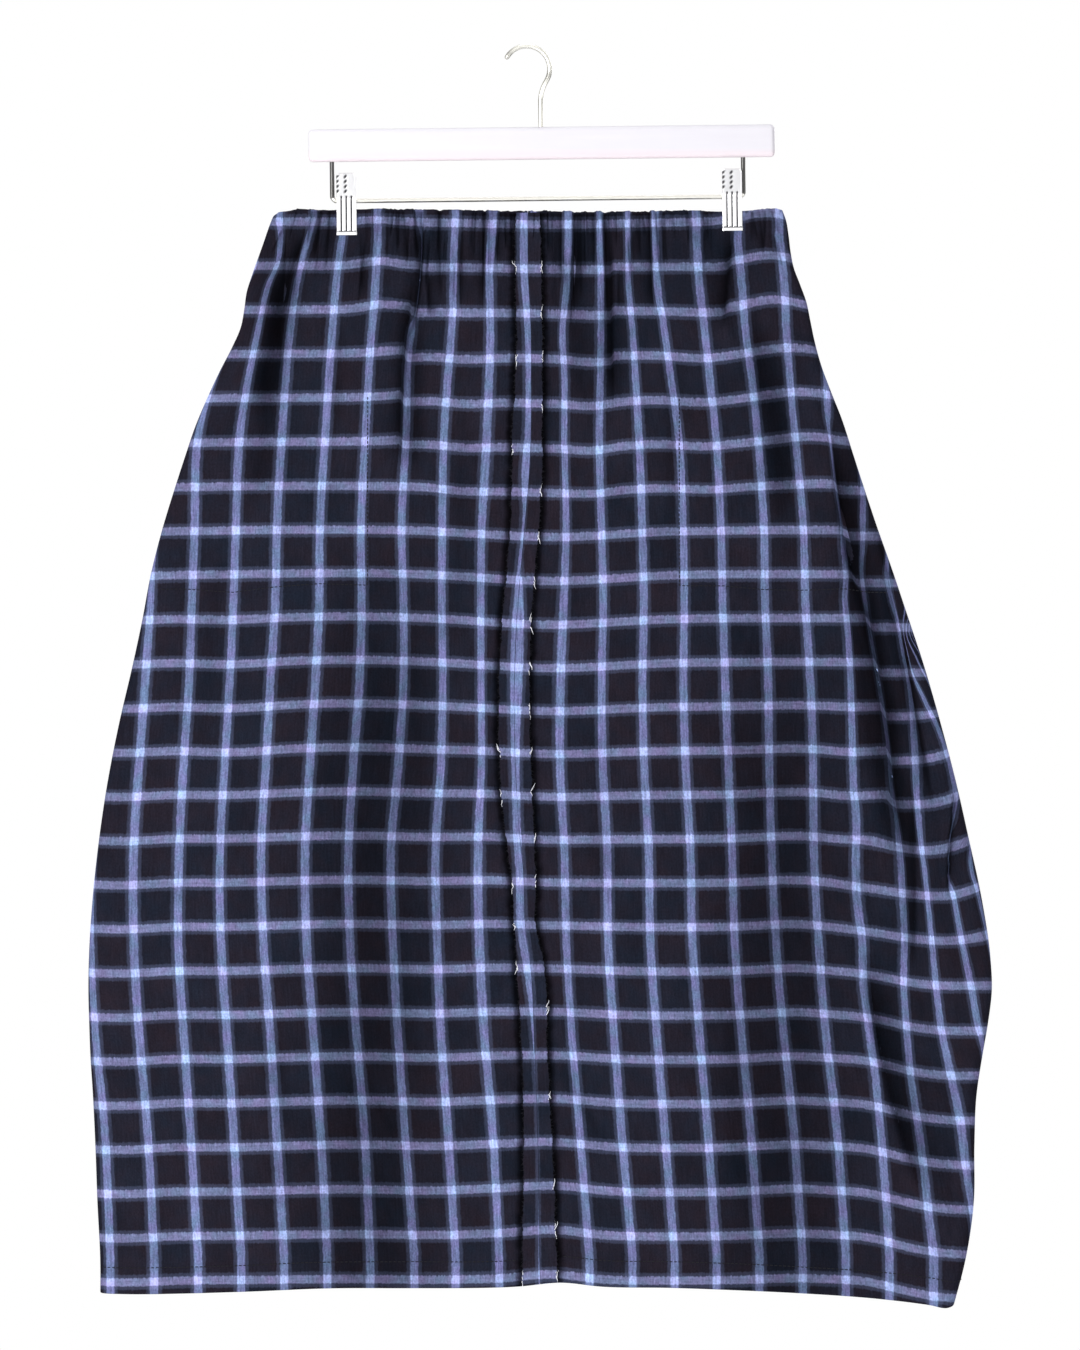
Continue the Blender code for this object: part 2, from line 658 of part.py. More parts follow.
def make_hanger():
    hanger = bpy.data.objects.new("hanger", None)
    hanger.rotation_euler = (0.0, -HANGER_LEAN, 0.0)
    bpy.context.collection.objects.link(hanger)
    make_bar(hanger)
    make_hook(hanger)
    make_rod(hanger)
    upright = Matrix.Rotation(HANGER_LEAN, 3, "Y")
    for name, world_x in CLIP_PLACES.items():
        place = (upright @ Vector((world_x, 0.0, ROD_Z))).x
        make_jaw(f"clip_{name}_front", place, FRONT, hanger)
        make_jaw(f"clip_{name}_back", place, BACK, hanger)
        make_barrel(f"clip_{name}_barrel", place, hanger)


def main():
    clear_scene()
    make_fronts()
    make_back()
    make_hanger()


main()
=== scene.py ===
"""Looks of a checked linen midi skirt on its clip hanger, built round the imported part.

Metres, +Z up, in the part's own frame: the front faces -Y and the origin is the inside top
of the hook. Cloth is made on the part's own surface, given by a side (front or back), a way
across (-1 left side seam, 0 centre-front seam, 1 right side seam) and a way down (0 waist,
1 hem), with finer gathers and creases added to it.
"""

import math
from collections import namedtuple
from itertools import cycle

import bmesh
import bpy
import numpy as np
from mathutils import Matrix, Vector


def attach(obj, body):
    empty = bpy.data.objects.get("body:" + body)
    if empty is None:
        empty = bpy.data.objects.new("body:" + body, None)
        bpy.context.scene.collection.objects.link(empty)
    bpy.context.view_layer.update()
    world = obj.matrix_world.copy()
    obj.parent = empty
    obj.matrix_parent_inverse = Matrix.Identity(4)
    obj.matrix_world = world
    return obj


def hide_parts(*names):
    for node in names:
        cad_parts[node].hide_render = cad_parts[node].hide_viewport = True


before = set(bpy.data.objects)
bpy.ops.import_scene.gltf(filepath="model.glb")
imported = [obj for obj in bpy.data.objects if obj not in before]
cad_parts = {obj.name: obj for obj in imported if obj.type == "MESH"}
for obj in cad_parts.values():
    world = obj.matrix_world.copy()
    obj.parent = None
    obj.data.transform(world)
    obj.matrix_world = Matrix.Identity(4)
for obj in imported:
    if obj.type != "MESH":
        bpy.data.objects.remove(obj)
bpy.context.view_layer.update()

FRONT = -1
BACK = 1
SIGNS = {"left": -1, "right": 1}

# Cloth, as in the part
GAP = .0003
CASING_DEPTH = .030
HEM_DEPTH = .020
STEP_DEPTH = .003
WAIST_Z = -.1251
BACK_HEM_EXTRA = .0018
SIDE_FADE = .05
LENS_POWER = 1.5
FOLD_FADE = .3
SAMPLE_STEP = 1e-4
TINY = 1e-30
FULL_TURN = 2 * math.pi
PHASES = (0, 6.28)

# Thickness of the thin cloth shown here
CLOTH_THICK = .0008
CASING_THICK = .0026
HEM_THICK = .0016
STRIP_THICK = .0007
POCKET_THICK = .0006


def rows(kind, *values):
    """The named rows of a table."""
    return [kind(*row) for row in values]


Section = namedtuple("Section", "drop left right half_depth side_radius")
SECTIONS = rows(
    Section,
    (0, .1965, .1978, .008, .006), (.007, .1992, .2004, .0085, .0061), (.019, .2033, .2025, .0094, .0061),
    (.032, .2079, .2041, .0105, .0062), (.044, .2121, .2065, .0116, .0063),
    (.057, .2162, .2114, .0129, .0064), (.07, .218, .2161, .0141, .0065), (.085, .221, .2193, .0154, .0066),
    (.1, .2275, .2224, .0165, .0068), (.119, .2372, .2276, .0178, .007), (.138, .246, .2346, .019, .0072),
    (.161, .2557, .2437, .0203, .0075), (.184, .2635, .2511, .0215, .0077),
    (.207, .2709, .2585, .0225, .008), (.242, .2815, .2701, .0239, .0084), (.276, .29, .2821, .025, .0088),
    (.311, .2965, .2938, .026, .0091), (.346, .3039, .3054, .0268, .0094),
    (.392, .3145, .3188, .0276, .0097), (.438, .3234, .3309, .0282, .01), (.484, .3301, .3413, .0288, .0103),
    (.53, .3349, .3512, .0291, .0105), (.576, .3376, .3579, .0292, .0106), (.6, .3379, .3589, .0291, .0106),
    (.623, .3373, .3563, .029, .0106), (.65, .3363, .3517, .0289, .0105), (.68, .3344, .3472, .0288, .0104),
    (.72, .3325, .3455, .0285, .0102), (.762, .331, .3451, .028, .01), (.808, .3288, .3385, .0275, .01),
    (.845, .3288, .3289, .027, .01),
)
Edge = namedtuple("Edge", "across waist_dip length")
EDGES = rows(
    Edge,
    (-1, .0074, .8326), (-.97, .0036, .8332), (-.92, .0013, .8336), (-.8, 0, .833), (-.66, -.0012, .8314),
    (-.5, 0, .829), (-.3, .0006, .8284), (-.05, .0014, .827), (.05, .0013, .824), (.14, .0018, .827),
    (.3, .002, .828), (.6, .001, .8326), (.8, .0002, .8372), (.92, -.0006, .842), (.97, -.0006, .8444),
    (1, -.0002, .8412),
)
LONGEST = max(edge.length for edge in EDGES)
Seam = namedtuple("Seam", "drop x left right")
SEAM = rows(
    Seam,
    (0, .001, .0092, .0092), (.05, .0013, .0098, .0098), (.085, .0032, .0108, .0086),
    (.112, .0036, .011, .0082), (.14, .0036, .0126, .008), (.168, .0034, .0142, .008),
    (.2, .0022, .013, .0094), (.235, -.0008, .011, .0108), (.302, -.0065, .0108, .0108),
    (.336, -.0085, .0112, .0112), (.467, -.0062, .0112, .0112), (.512, -.0022, .0092, .0092),
    (.548, -.0012, .008, .008), (.584, .0034, .0105, .0105), (.645, .0062, .0096, .0096),
    (.734, .0092, .0112, .0112), (.806, .01, .013, .013), (.845, .011, .0135, .0135),
)
Gather = namedtuple("Gather", "x width height length")
FRONT_GATHERS = rows(
    Gather,
    (-.178, .006, .0022, .06), (-.163, .006, .002, .09), (-.119, .0065, .0016, .05),
    (-.103, .0065, .0022, .08), (-.087, .006, .0026, .11), (-.073, .006, .0018, .06),
    (-.058, .0065, .0022, .09), (-.044, .0055, .0024, .11), (-.032, .005, .002, .06),
    (-.019, .0055, .0024, .095), (.017, .005, .0022, .07), (.029, .0055, .0026, .11),
    (.041, .005, .002, .06), (.053, .0055, .0024, .09), (.066, .006, .0028, .12), (.08, .0055, .002, .07),
    (.093, .006, .0018, .06), (.108, .0065, .002, .08), (.124, .007, .0014, .05), (.18, .006, .0018, .06),
)

# The hidden back's gathers and pleats lie about evenly across it, in runs of sizes that repeat unevenly
Places = namedtuple("Places", "count spread shift turn")
BACK_GATHER_PLACES = Places(27, .182, .0016, 2.4)
BACK_GATHER_WIDTH = .0058
BACK_GATHER_HEIGHTS = (.0024, .0018, .0027, .0020, .0015)
BACK_GATHER_LENGTHS = (.090, .060, .120, .075)

Fold = namedtuple("Fold", "start end x_start x_middle x_end width height")
FRONT_FOLDS = rows(
    Fold,
    (.08, .225, .016, .0155, .015, .0036, -.0016), (.032, .165, -.18, -.192, -.205, .0095, -.0062),
    (.036, .11, -.188, -.2, -.208, .007, .003), (.06, .215, -.087, -.087, -.088, .008, -.004),
    (.055, .15, .066, .067, .068, .008, -.0036), (.03, .16, .038, .04, .043, .009, -.0022),
    (.08, .25, .18, .193, .201, .01, -.0054), (.09, .24, -.195, -.2, -.212, .01, -.003),
    (.16, .53, .242, .264, .295, .011, -.006), (.2, .56, .262, .288, .318, .014, .005),
    (.56, .77, .268, .288, .318, .011, -.0022), (.57, .8, .284, .3, .332, .014, .006),
    (.15, 1, -.205, -.225, -.23, .055, .004), (.2, 1, -.11, -.118, -.122, .042, -.0035),
    (.18, 1, .09, .105, .12, .05, .0035), (.25, 1, .185, .195, .205, .04, -.003),
)
BACK_FOLDS = rows(
    Fold,
    (.04, .18, .14, .146, .156, .009, -.0045), (.05, .21, -.06, -.064, -.066, .0085, -.004),
    (.18, .56, -.225, -.25, -.28, .015, -.0065), (.56, .79, -.15, -.162, -.184, .015, -.0065),
    (.15, 1, .185, .205, .215, .055, .0045), (.2, 1, .05, .056, .062, .045, -.0035),
    (.18, 1, -.1, -.11, -.118, .052, .004),
)

# Fine creases placed one by one, and soft ones like them on the hidden back
FRONT_CREASES = rows(
    Fold,
    (.018, .08, .0225, .022, .022, .0022, -.0009), (.02, .095, .0368, .0366, .0366, .0024, -.001),
    (.02, .105, .156, .156, .159, .0035, -.0013), (.666, .716, -.1215, -.111, -.0975, .0035, -.0012),
    (.65, .722, .027, .043, .062, .004, -.0014), (.1, .3, .109, .112, .114, .005, -.0012),
    (.08, .2, -.139, -.146, -.15, .0045, -.0014), (.06, .17, .174, .18, .184, .005, -.0016),
    (.12, .33, -.048, -.05, -.052, .006, -.0011), (.3, .48, -.088, -.084, -.079, .007, -.0009),
    (.36, .56, .052, .056, .061, .008, -.0009), (.6, .8, -.196, -.19, -.187, .008, -.001),
    (.56, .78, .156, .16, .166, .009, -.001), (.24, .42, -.233, -.242, -.248, .007, -.0012),
    (.47, .64, .306, .32, .334, .006, .0022),
)
BACK_CREASES = rows(
    Fold,
    (.09, .26, .03, .029, .03, .0055, -.0013), (.08, .23, -.138, -.144, -.148, .005, -.0014),
    (.3, .5, .12, .126, .129, .007, -.001), (.42, .6, -.03, -.036, -.044, .007, -.001),
    (.62, .7, .09, .102, .118, .004, -.0013), (.6, .8, -.24, -.236, -.235, .008, -.0011),
)

# Sharp pleats of the gathered front, charted: a crease that falls from x_start to
# x_end, steep on its right (facing 1) or left (-1), with the cloth that it swallows and the
# step that it makes in the level stripes
Pleat = namedtuple("Pleat", "start end x_start x_middle x_end width depth facing swallow slip")
PLEAT_TOP = -.0046
FRONT_PLEATS = rows(
    Pleat,
    (.0008, .124, -.1605, -.1852, -.189, .007, .004, 1, .002, 0),
    (-.0046, .0393, -.1567, -.1598, -.1636, .003, .002, 1, .0025, 0),
    (-.0046, .0362, -.1513, -.1528, -.1552, .0026, .0012, -1, .0015, 0),
    (.0131, .0685, -.1282, -.1274, -.1259, .003, .0012, -1, .001, 0),
    (-.0046, .03, -.1244, -.1236, -.1236, .0022, .0009, -1, .001, 0),
    (-.0046, .0393, -.1059, -.1066, -.1066, .0024, .0009, 1, .001, 0),
    (-.0046, .03, -.1005, -.0997, -.0989, .002, .0008, -1, .0008, 0),
    (-.0046, .0393, -.0951, -.0928, -.0905, .0026, .0012, 1, .0015, 0),
    (-.0046, .0393, -.0866, -.0851, -.0843, .0026, .0016, -1, .0015, 0),
    (.002, .096, -.0806, -.0816, -.0885, .004, .0024, 1, .011, .002),
    (.05, .2071, -.0859, -.0943, -.0959, .005, .0032, 1, .002, .0065),
    (.0439, .0855, -.0751, -.0751, -.0735, .0032, .0018, -1, .001, 0),
    (-.0046, .0724, -.0658, -.0666, -.0643, .003, .0015, 1, .0015, 0),
    (.0085, .0778, -.0512, -.0512, -.0504, .003, .0015, -1, .001, 0),
    (-.0046, .0393, -.0381, -.0397, -.0404, .0024, .001, 1, .0008, 0),
    (-.0046, .0778, -.0312, -.0327, -.0327, .0032, .002, 1, .0015, 0),
    (-.0046, .0416, -.0204, -.0219, -.0243, .003, .002, -1, .002, 0),
    (-.0046, .0223, -.0173, -.0166, -.0158, .002, .001, 1, .001, 0),
    (-.0046, .0208, -.0119, -.0119, -.0112, .002, .001, -1, .001, 0),
    (-.0046, .0162, .0166, .0166, .0166, .002, .0009, 1, .0008, 0),
    (-.0046, .0146, .0204, .0204, .0196, .002, .0009, -1, .0008, 0),
    (-.0046, .057, .0266, .0266, .0273, .003, .002, 1, .0015, 0),
    (-.0046, .0801, .0366, .0366, .0358, .0034, .0024, -1, .002, 0),
    (-.0046, .0685, .042, .042, .0427, .0028, .0015, 1, .001, 0),
    (-.0046, .0185, .0466, .0466, .0466, .002, .0009, -1, .0008, 0),
    (-.0046, .0439, .0527, .0527, .0527, .0028, .0015, 1, .001, 0),
    (-.0046, .0824, .0597, .0612, .062, .0034, .0024, -1, .002, 0),
    (.0162, .1532, .0658, .0658, .0674, .0036, .0022, 1, .0015, -.0038),
    (.0393, .0778, .0712, .0712, .0712, .0024, .001, -1, .0005, 0),
    (-.0046, .0393, .0805, .0805, .0812, .0024, .0012, -1, .001, 0),
    (-.0046, .0393, .0874, .0874, .0882, .0024, .0012, 1, .001, 0),
    (-.0046, .0801, .0943, .0959, .0974, .0032, .002, 1, .0015, 0),
    (-.0046, .0454, .1043, .1051, .1059, .0022, .001, -1, .0005, 0),
    (-.0046, .0223, .112, .1136, .1151, .002, .0008, 1, .0008, 0),
    (-.0046, .0185, .122, .1228, .1228, .002, .0008, -1, .0008, 0),
    (-.0046, .0239, .1398, .1398, .1405, .0022, .001, 1, .0008, 0),
    (.0085, .0932, .1605, .1552, .1521, .0055, .0026, 1, .0005, -.004),
    (-.0046, .0262, .1736, .1729, .1729, .0022, .001, -1, .0008, 0),
    (-.0046, .0347, .1836, .1836, .1821, .0026, .0015, 1, .001, 0),
    (.15, .264, .2306, .238, .247, .006, 0, -1, .011, 0),
    (.16, .305, .2345, .2425, .2555, .006, .0038, -1, 0, 0),
    (.28, .425, .253, .2695, .276, .0075, .0042, -1, .003, 0),
    (.365, .495, .2755, .2805, .2885, .005, .0026, -1, .004, 0),
    (.435, .59, .2955, .2985, .2975, .006, .0024, 1, .001, 0),
    (.235, .34, .269, .279, .2885, .0045, .0018, 1, 0, 0),
    (.315, .465, .288, .3008, .315, .005, .0026, 1, .0076, 0),
    (.442, .53, .3312, .3258, .3245, .003, .0015, -1, .01, 0),
    (.56, .77, .26, .2765, .31, .0075, .0042, -1, .001, 0),
)
STEEP_SHARE = .28
LIP_SHARE = .35
LIP_PLACE = 2.6
LIP_WIDTH = 1.6
EDGE_SHARE = .30
SWALLOW_REACH = .0045
SLIP_REACH = .020
PLEAT_ROOM = .0026
PLEAT_LIMIT = .0029
LIMIT_EASE = .6
HIDING_SWALLOW = .0080
HIDING_EDGE = .0005
HIDING_SHADE = 4
HIDING_WIDTH = .0011
PLEAT_ZONE = .20
PLEAT_ZONE_FADE = .04

# Thin pleats among the gathers: shares of a group's spacing and length, and drops where some start
FINE_PLEAT_PLACES = (.1, .9)
FINE_PLEAT_DEPTHS = (.0005, .0016)
FINE_PLEAT_LENGTHS = (.5, 2)
FINE_PLEAT_DRIFTS = (1, 1.05)
FINE_PLEAT_STARTS = (.004, .030)
FINE_PLEAT_AT_TOP = .7

# How wide a small pleat is and how much cloth it swallows, by its depth
PleatStyle = namedtuple("PleatStyle", "wide least swallow")
FINE_STYLE = PleatStyle(.8, .0008, .4)
BACK_STYLE = PleatStyle(1.3, .001, .5)

BACK_PLEAT_PLACES = Places(46, .186, .0018, 2.9)
BACK_PLEAT_DRIFT = 1.06
BACK_FACING_TURN = 1.7
BACK_PLEAT_DEPTHS = (.0011, .0020, .0013, .0024, .0009, .0017, .0014)
BACK_PLEAT_ENDS = (.036, .070, .024, .088, .045)

# Painted shade in creases, between gathers and beside the raw edges
PLEAT_SHADE_DEPTH = .0012
PLEAT_SHADE_MOST = 2.2
PLEAT_SHADE_STEEP = .8
FOLD_SHADE_DEPTH = .0041
GATHER_SHADE_DEPTH = .0022
GATHER_SHADE = .26
GATHER_SHADE_END = .11
RAW_SHADE = 6
RAW_SHADE_WIDTH = .0031
RAW_SHADE_START = .0004
RAW_SHADE_RISE = .0008
RAW_SHADE_CURL = (.75, .35, .3, 1.3)

# Small gathers between the pleats: where a group runs, how many and how long they are
Group = namedtuple("Group", "start end count height length")
FRONT_GROUPS = rows(
    Group,
    (-.192, -.15, 7, .0007, .034), (-.128, -.03, 14, .0006, .03), (-.03, .104, 22, .0007, .034),
    (.104, .146, 5, .0005, .026), (.168, .194, 4, .0006, .03),
)
BACK_GROUPS = [Group(-.190, .190, 44, .0007, .034)]
SMALL_GATHER_WIDTH = .0023
SMALL_GATHER_PLACES = (.15, .85)
SMALL_GATHER_SIZES = ((.8, 1.3), (.4, 1.3), (.4, 1.6))
GATHER_SEED = 11

# Broad unevenness of hung cloth, as a few slow waves
Wave = namedtuple("Wave", "turn_x turn_z phase")
RIPPLE_COUNT = 9
RIPPLE_LENGTHS = (.045, .120)
RIPPLE_SLANTS = (-.9, .9)
RIPPLE_HEIGHT = .00032
RIPPLE_SEED = 5

# Where the clips press the cloth flat
CLIP_PLACES = {"left": -.1386, "right": .1583}
PINCH_HALF_DEPTH = .0033
PINCH_FLAT = .0095
PINCH_REACH = .030
PINCH_DROP_FLAT = .024
PINCH_DROP_REACH = .075

# The check: where its upright stripes lie on each front, by drop, and at the seam's fold
STRIPE_PITCH = .0333
ORDER = "first second third fourth fifth sixth seventh eighth ninth tenth eleventh".split()
LeftStripes = namedtuple("LeftStripes", "drop first second third fourth fifth sixth eighth ninth")
LEFT_STRIPES = rows(
    LeftStripes,
    (.004, -.0258, -.0547, -.0816, -.1151, -.1396, -.164, -.2164, -.2426),
    (.022, -.0273, -.0552, -.0806, -.1151, -.1419, -.1686, -.2102, -.231),
    (.04, -.0283, -.0557, -.0812, -.116, -.1446, -.1732, -.2104, -.229),
    (.057, -.0283, -.056, -.0825, -.1167, -.1463, -.1771, -.2208, -.2426),
    (.075, -.0282, -.0562, -.0843, -.1177, -.148, -.1799, -.2266, -.25),
    (.092, -.0281, -.0574, -.0882, -.119, -.1492, -.1821, -.2314, -.256),
    (.169, -.0304, -.0635, -.092, -.1236, -.1542, -.1879, -.2523, -.2847),
    (.246, -.0345, -.0647, -.096, -.1272, -.1588, -.192, -.2552, -.2892),
    (.3, -.035, -.0651, -.0943, -.1267, -.1592, -.1931, -.2573, -.2897),
    (.361, -.0347, -.0643, -.0943, -.1283, -.1621, -.1968, -.2593, -.2933),
    (.423, -.0343, -.0655, -.0982, -.1329, -.1661, -.2001, -.2633, -.2978),
    (.492, -.0373, -.0697, -.1043, -.1367, -.1701, -.2039, -.2668, -.3022),
    (.561, -.0366, -.0685, -.1028, -.1355, -.1689, -.2022, -.2676, -.302),
    (.631, -.0327, -.0658, -.0989, -.1308, -.1639, -.197, -.2637, -.298),
    (.7, -.0263, -.061, -.0941, -.1249, -.1588, -.1927, -.2589, -.292),
    (.804, -.0206, -.0545, -.0861, -.12, -.1531, -.1862, -.2524, -.2863),
)
RightStripes = namedtuple("RightStripes", "drop first second fourth fifth sixth seventh")
RIGHT_STRIPES = rows(
    RightStripes,
    (.022, .032, .0566, .0989, .1307, .1626, .1944), (.057, .0304, .0569, .1005, .1331, .1657, .1983),
    (.092, .0273, .0574, .1059, .1372, .1685, .1998), (.131, .029, .0566, .1114, .1411, .1738, .2029),
    (.169, .0288, .0558, .1167, .1451, .1777, .206), (.246, .0304, .0575, .1205, .1493, .1828, .2129),
    (.3, .0289, .0589, .1213, .1505, .1835, .2144), (.361, .0266, .0577, .1205, .1526, .1859, .2183),
    (.423, .0258, .0585, .122, .1551, .1865, .2204), (.492, .0289, .062, .1259, .158, .1883, .221),
    (.561, .0304, .0627, .1274, .16, .1917, .2245), (.631, .0343, .0671, .1328, .1651, .1975, .2298),
    (.7, .0401, .0724, .1386, .1717, .2048, .2379), (.804, .0484, .0815, .1461, .1792, .2123, .2455),
)
FlankStripes = namedtuple("FlankStripes", "drop eighth ninth tenth eleventh")
FLANK_STRIPES = rows(
    FlankStripes,
    (.092, .2317, .2563, .281, .3056), (.169, .2322, .261, .2841, .3072), (.213, .2364, .2605, .2848, .3049),
    (.246, .2422, .2591, .2848, .3018), (.28, .2468, .2576, .2772, .2972), (.3, .2456, .2603, .2811, .2956),
    (.3165, .2472, .2626, .2861, .29), (.3457, .2491, .2676, .2895, .2957),
    (.3765, .2501, .273, .2938, .3074), (.412, .2507, .2784, .2963, .3232),
    (.4458, .2516, .2814, .2988, .3311), (.469, .2537, .2852, .3007, .33),
    (.492, .2533, .2876, .3032, .3238), (.505, .2529, .2888, .3049, .3242),
    (.527, .2537, .2899, .3081, .3284), (.561, .258, .2912, .3115, .3346),
    (.594, .2591, .2903, .3145, .3415), (.631, .2637, .2924, .3192, .3485),
    (.664, .2683, .295, .3261, .3611), (.7, .2718, .3003, .3333, .3711), (.737, .2749, .3055, .3383, .3765),
    (.767, .277, .3086, .3437, .3795), (.804, .2791, .313, .3518, .3842),
)
AtFold = namedtuple("AtFold", "drop left right")
AT_FOLD = rows(
    AtFold,
    (0, -.0028, -.0055), (.06, -.0026, -.0055), (.095, -.0014, -.0055), (.165, -.0014, -.0055),
    (.203, -.0026, -.0055), (.235, .0012, -.0045), (.266, .0008, -.0045), (.292, 0, 0), (.43, 0, 0),
    (.5, -.0025, -.003), (.577, -.0025, -.003), (.63, .0016, -.004), (.845, .0022, -.0045),
)
BackPitch = namedtuple("BackPitch", "drop size")
BACK_PITCH = rows(
    BackPitch,
    (0, .0262), (.08, .0298), (.2, .0322), (.33, .0333), (.845, .0333),
)

# Where the level stripes lie, and how far they sag or slip from level
LEVEL_TOP_Z = -.1336
LEVEL_PITCH = .03391
SAG_X = .0196
BACK_SAG = .6
Sag = namedtuple("Sag", "drop width depth")
SAGS = rows(
    Sag,
    (.008, .085, .0023), (.076, .085, .0031), (.145, .08, .0046), (.212, .075, .0054), (.28, .07, .0054),
    (.347, .065, .0046), (.415, .06, .0027), (.483, .055, .0008), (.551, .05, -.0013), (.618, .045, -.0027),
    (.686, .04, -.0039), (.754, .035, -.005), (.822, .03, -.0046),
)
Slip = namedtuple("Slip", "drop x depth width")
FOLD_SLIPS = rows(
    Slip,
    (.12, .233, 0, .008), (.19, .2345, .0016, .005), (.213, .238, .004, .0035), (.246, .244, .0044, .0035),
    (.28, .251, .0066, .0035), (.317, .2635, .0069, .0035), (.346, .269, .008, .0035),
    (.383, .2745, .0077, .0035), (.414, .2784, .008, .004), (.45, .28, .0076, .006),
    (.478, .279, .0084, .036), (.51, .27, .0105, .11), (.577, .265, .011, .12), (.66, .27, .0128, .13),
    (.738, .275, .014, .14), (.823, .275, .015, .14),
)
LEVEL_SHIFTS = rows(
    Fold,
    (.06, .26, -.047, -.047, -.047, .022, .0022), (.06, .25, .05, .05, .05, .018, .0024),
    (.28, .47, -.225, -.225, -.225, .035, .0016), (.36, .52, .248, .248, .248, .018, .0014),
    (-.06, .25, .176, .2, .236, .03, -.0046), (-.03, .11, .182, .186, .19, .024, -.0032),
    (.05, .26, .136, .137, .145, .026, .003), (-.01, .12, -.115, -.113, -.105, .018, -.0036),
    (.04, 1.1, -.275, -.3, -.31, .05, .0024), (.355, .6, .326, .35, .372, .024, -.0085),
    (.2, .9, -.135, -.135, -.135, .07, -.0025), (.15, .9, -.273, -.273, -.273, .03, -.0017),
    (.34, .9, -.03, -.03, -.03, .034, -.0019), (.3, .92, .205, .205, .205, .035, -.0022),
    (.48, 1.1, .262, .262, .262, .03, -.0038),
)

# Points of each shell: twice as many columns down to FINE_DEPTH, half as many rows inside
FLAT_COLUMNS = 192
ARC_COLUMNS = 8
BACK_FLAT_COLUMNS = 84
STRIP_COLUMNS = 9
FINE_DEPTH = .150
CASING_ROWS = 24
FINE_ROWS = 60
BODY_ROWS = 146
HEM_ROWS = 12
STRIP_ROWS = 560
POCKET_POINTS = 24
RIM_STEPS = 4
SHARP_ANGLE = math.radians(50)
SCALLOP = .14
SCALLOP_DEPTH = .014
SEAM_ROLL = .0007
SEAM_ROLL_REACH = .0030


def smooth_step(value):
    value = np.clip(value, 0, 1)
    return value * value * (3 - 2 * value)


def unit(vectors):
    return vectors / np.maximum(np.linalg.norm(vectors, axis=-1, keepdims=True), TINY)


def read(table, column, at):
    """One column of a table, on a smooth curve through its rows."""
    keys = np.array([row[0] for row in table])
    values = np.array([getattr(row, column) for row in table])
    slopes = np.gradient(values, keys)
    at = np.clip(at, keys[0], keys[-1])
    low = np.clip(np.searchsorted(keys, at, side="right") - 1, 0, len(keys) - 2)
    span = keys[low + 1] - keys[low]
    part = (at - keys[low]) / span
    left = 1 - part
    ends = values[low] * (1 + 2 * part) * left**2 + values[low + 1] * part**2 * (3 - 2 * part)
    return ends + span * (slopes[low] * part * left**2 - slopes[low + 1] * part**2 * left)


def back_places(places):
    """Even places across the hidden back, each a little off."""
    evens = enumerate(np.linspace(-1, 1, places.count))
    return [places.spread * even + places.shift * math.sin(places.turn * number) for number, even in evens]


def back_gathers():
    sizes = zip(back_places(BACK_GATHER_PLACES), cycle(BACK_GATHER_HEIGHTS), cycle(BACK_GATHER_LENGTHS))
    return [Gather(x, BACK_GATHER_WIDTH, height, length) for x, height, length in sizes]


def small_gathers(groups, seed):
    """Small gathers of each group, uneven in place, height and length."""
    draw = np.random.default_rng(seed).uniform
    gathers = []
    for start, end, count, height, length in groups:
        for number in range(count):
            x = start + (end - start) / count * (number + draw(*SMALL_GATHER_PLACES))
            sizes = zip((SMALL_GATHER_WIDTH, height, length), SMALL_GATHER_SIZES)
            gathers.append(Gather(x, *[size * draw(*shares) for size, shares in sizes]))
    return gathers


def small_pleat(style, start, end, x, drift, depth, facing):
    """A pleat of one style whose crease drifts evenly outwards."""
    width = style.wide * depth + style.least
    last = x * drift
    return Pleat(start, end, x, (x + last) / 2, last, width, depth, facing, style.swallow * depth, 0)


def fine_pleats(groups, seed):
    """Thin sharp pleats among the gathers of each group."""
    random = np.random.default_rng(seed)
    draw = random.uniform
    pleats = []
    for first, last, count, _, length in groups:
        for number in range(count):
            x = first + (last - first) / count * (number + draw(*FINE_PLEAT_PLACES))
            depth = draw(*FINE_PLEAT_DEPTHS)
            start = PLEAT_TOP if random.random() < FINE_PLEAT_AT_TOP else draw(*FINE_PLEAT_STARTS)
            end = max(start, 0) + length * draw(*FINE_PLEAT_LENGTHS)
            drift = draw(*FINE_PLEAT_DRIFTS)
            facing = 1 if random.random() < .5 else -1
            pleats.append(small_pleat(FINE_STYLE, start, end, x, drift, depth, facing))
    return pleats


def back_pleats():
    sizes = zip(back_places(BACK_PLEAT_PLACES), cycle(BACK_PLEAT_DEPTHS), cycle(BACK_PLEAT_ENDS))
    pleats = []
    for number, (x, depth, end) in enumerate(sizes):
        facing = 1 if math.sin(BACK_FACING_TURN * number) > 0 else -1
        pleats.append(small_pleat(BACK_STYLE, PLEAT_TOP, end, x, BACK_PLEAT_DRIFT, depth, facing))
    return pleats


def ripple_waves(seed):
    draw = np.random.default_rng(seed).uniform
    waves = []
    for _ in range(RIPPLE_COUNT):
        turn = FULL_TURN / draw(*RIPPLE_LENGTHS)
        slant = draw(*RIPPLE_SLANTS)
        waves.append(Wave(turn * math.cos(slant), turn * math.sin(slant), draw(*PHASES)))
    return waves


def chart(sign, *tables):
    """The charted stripes in order outwards, each as its table, its column and its number."""
    columns = [(table, column) for table in tables for column in table[0]._fields[1:]]
    return [(table, column, sign * (ORDER.index(column) + 1)) for table, column in columns]


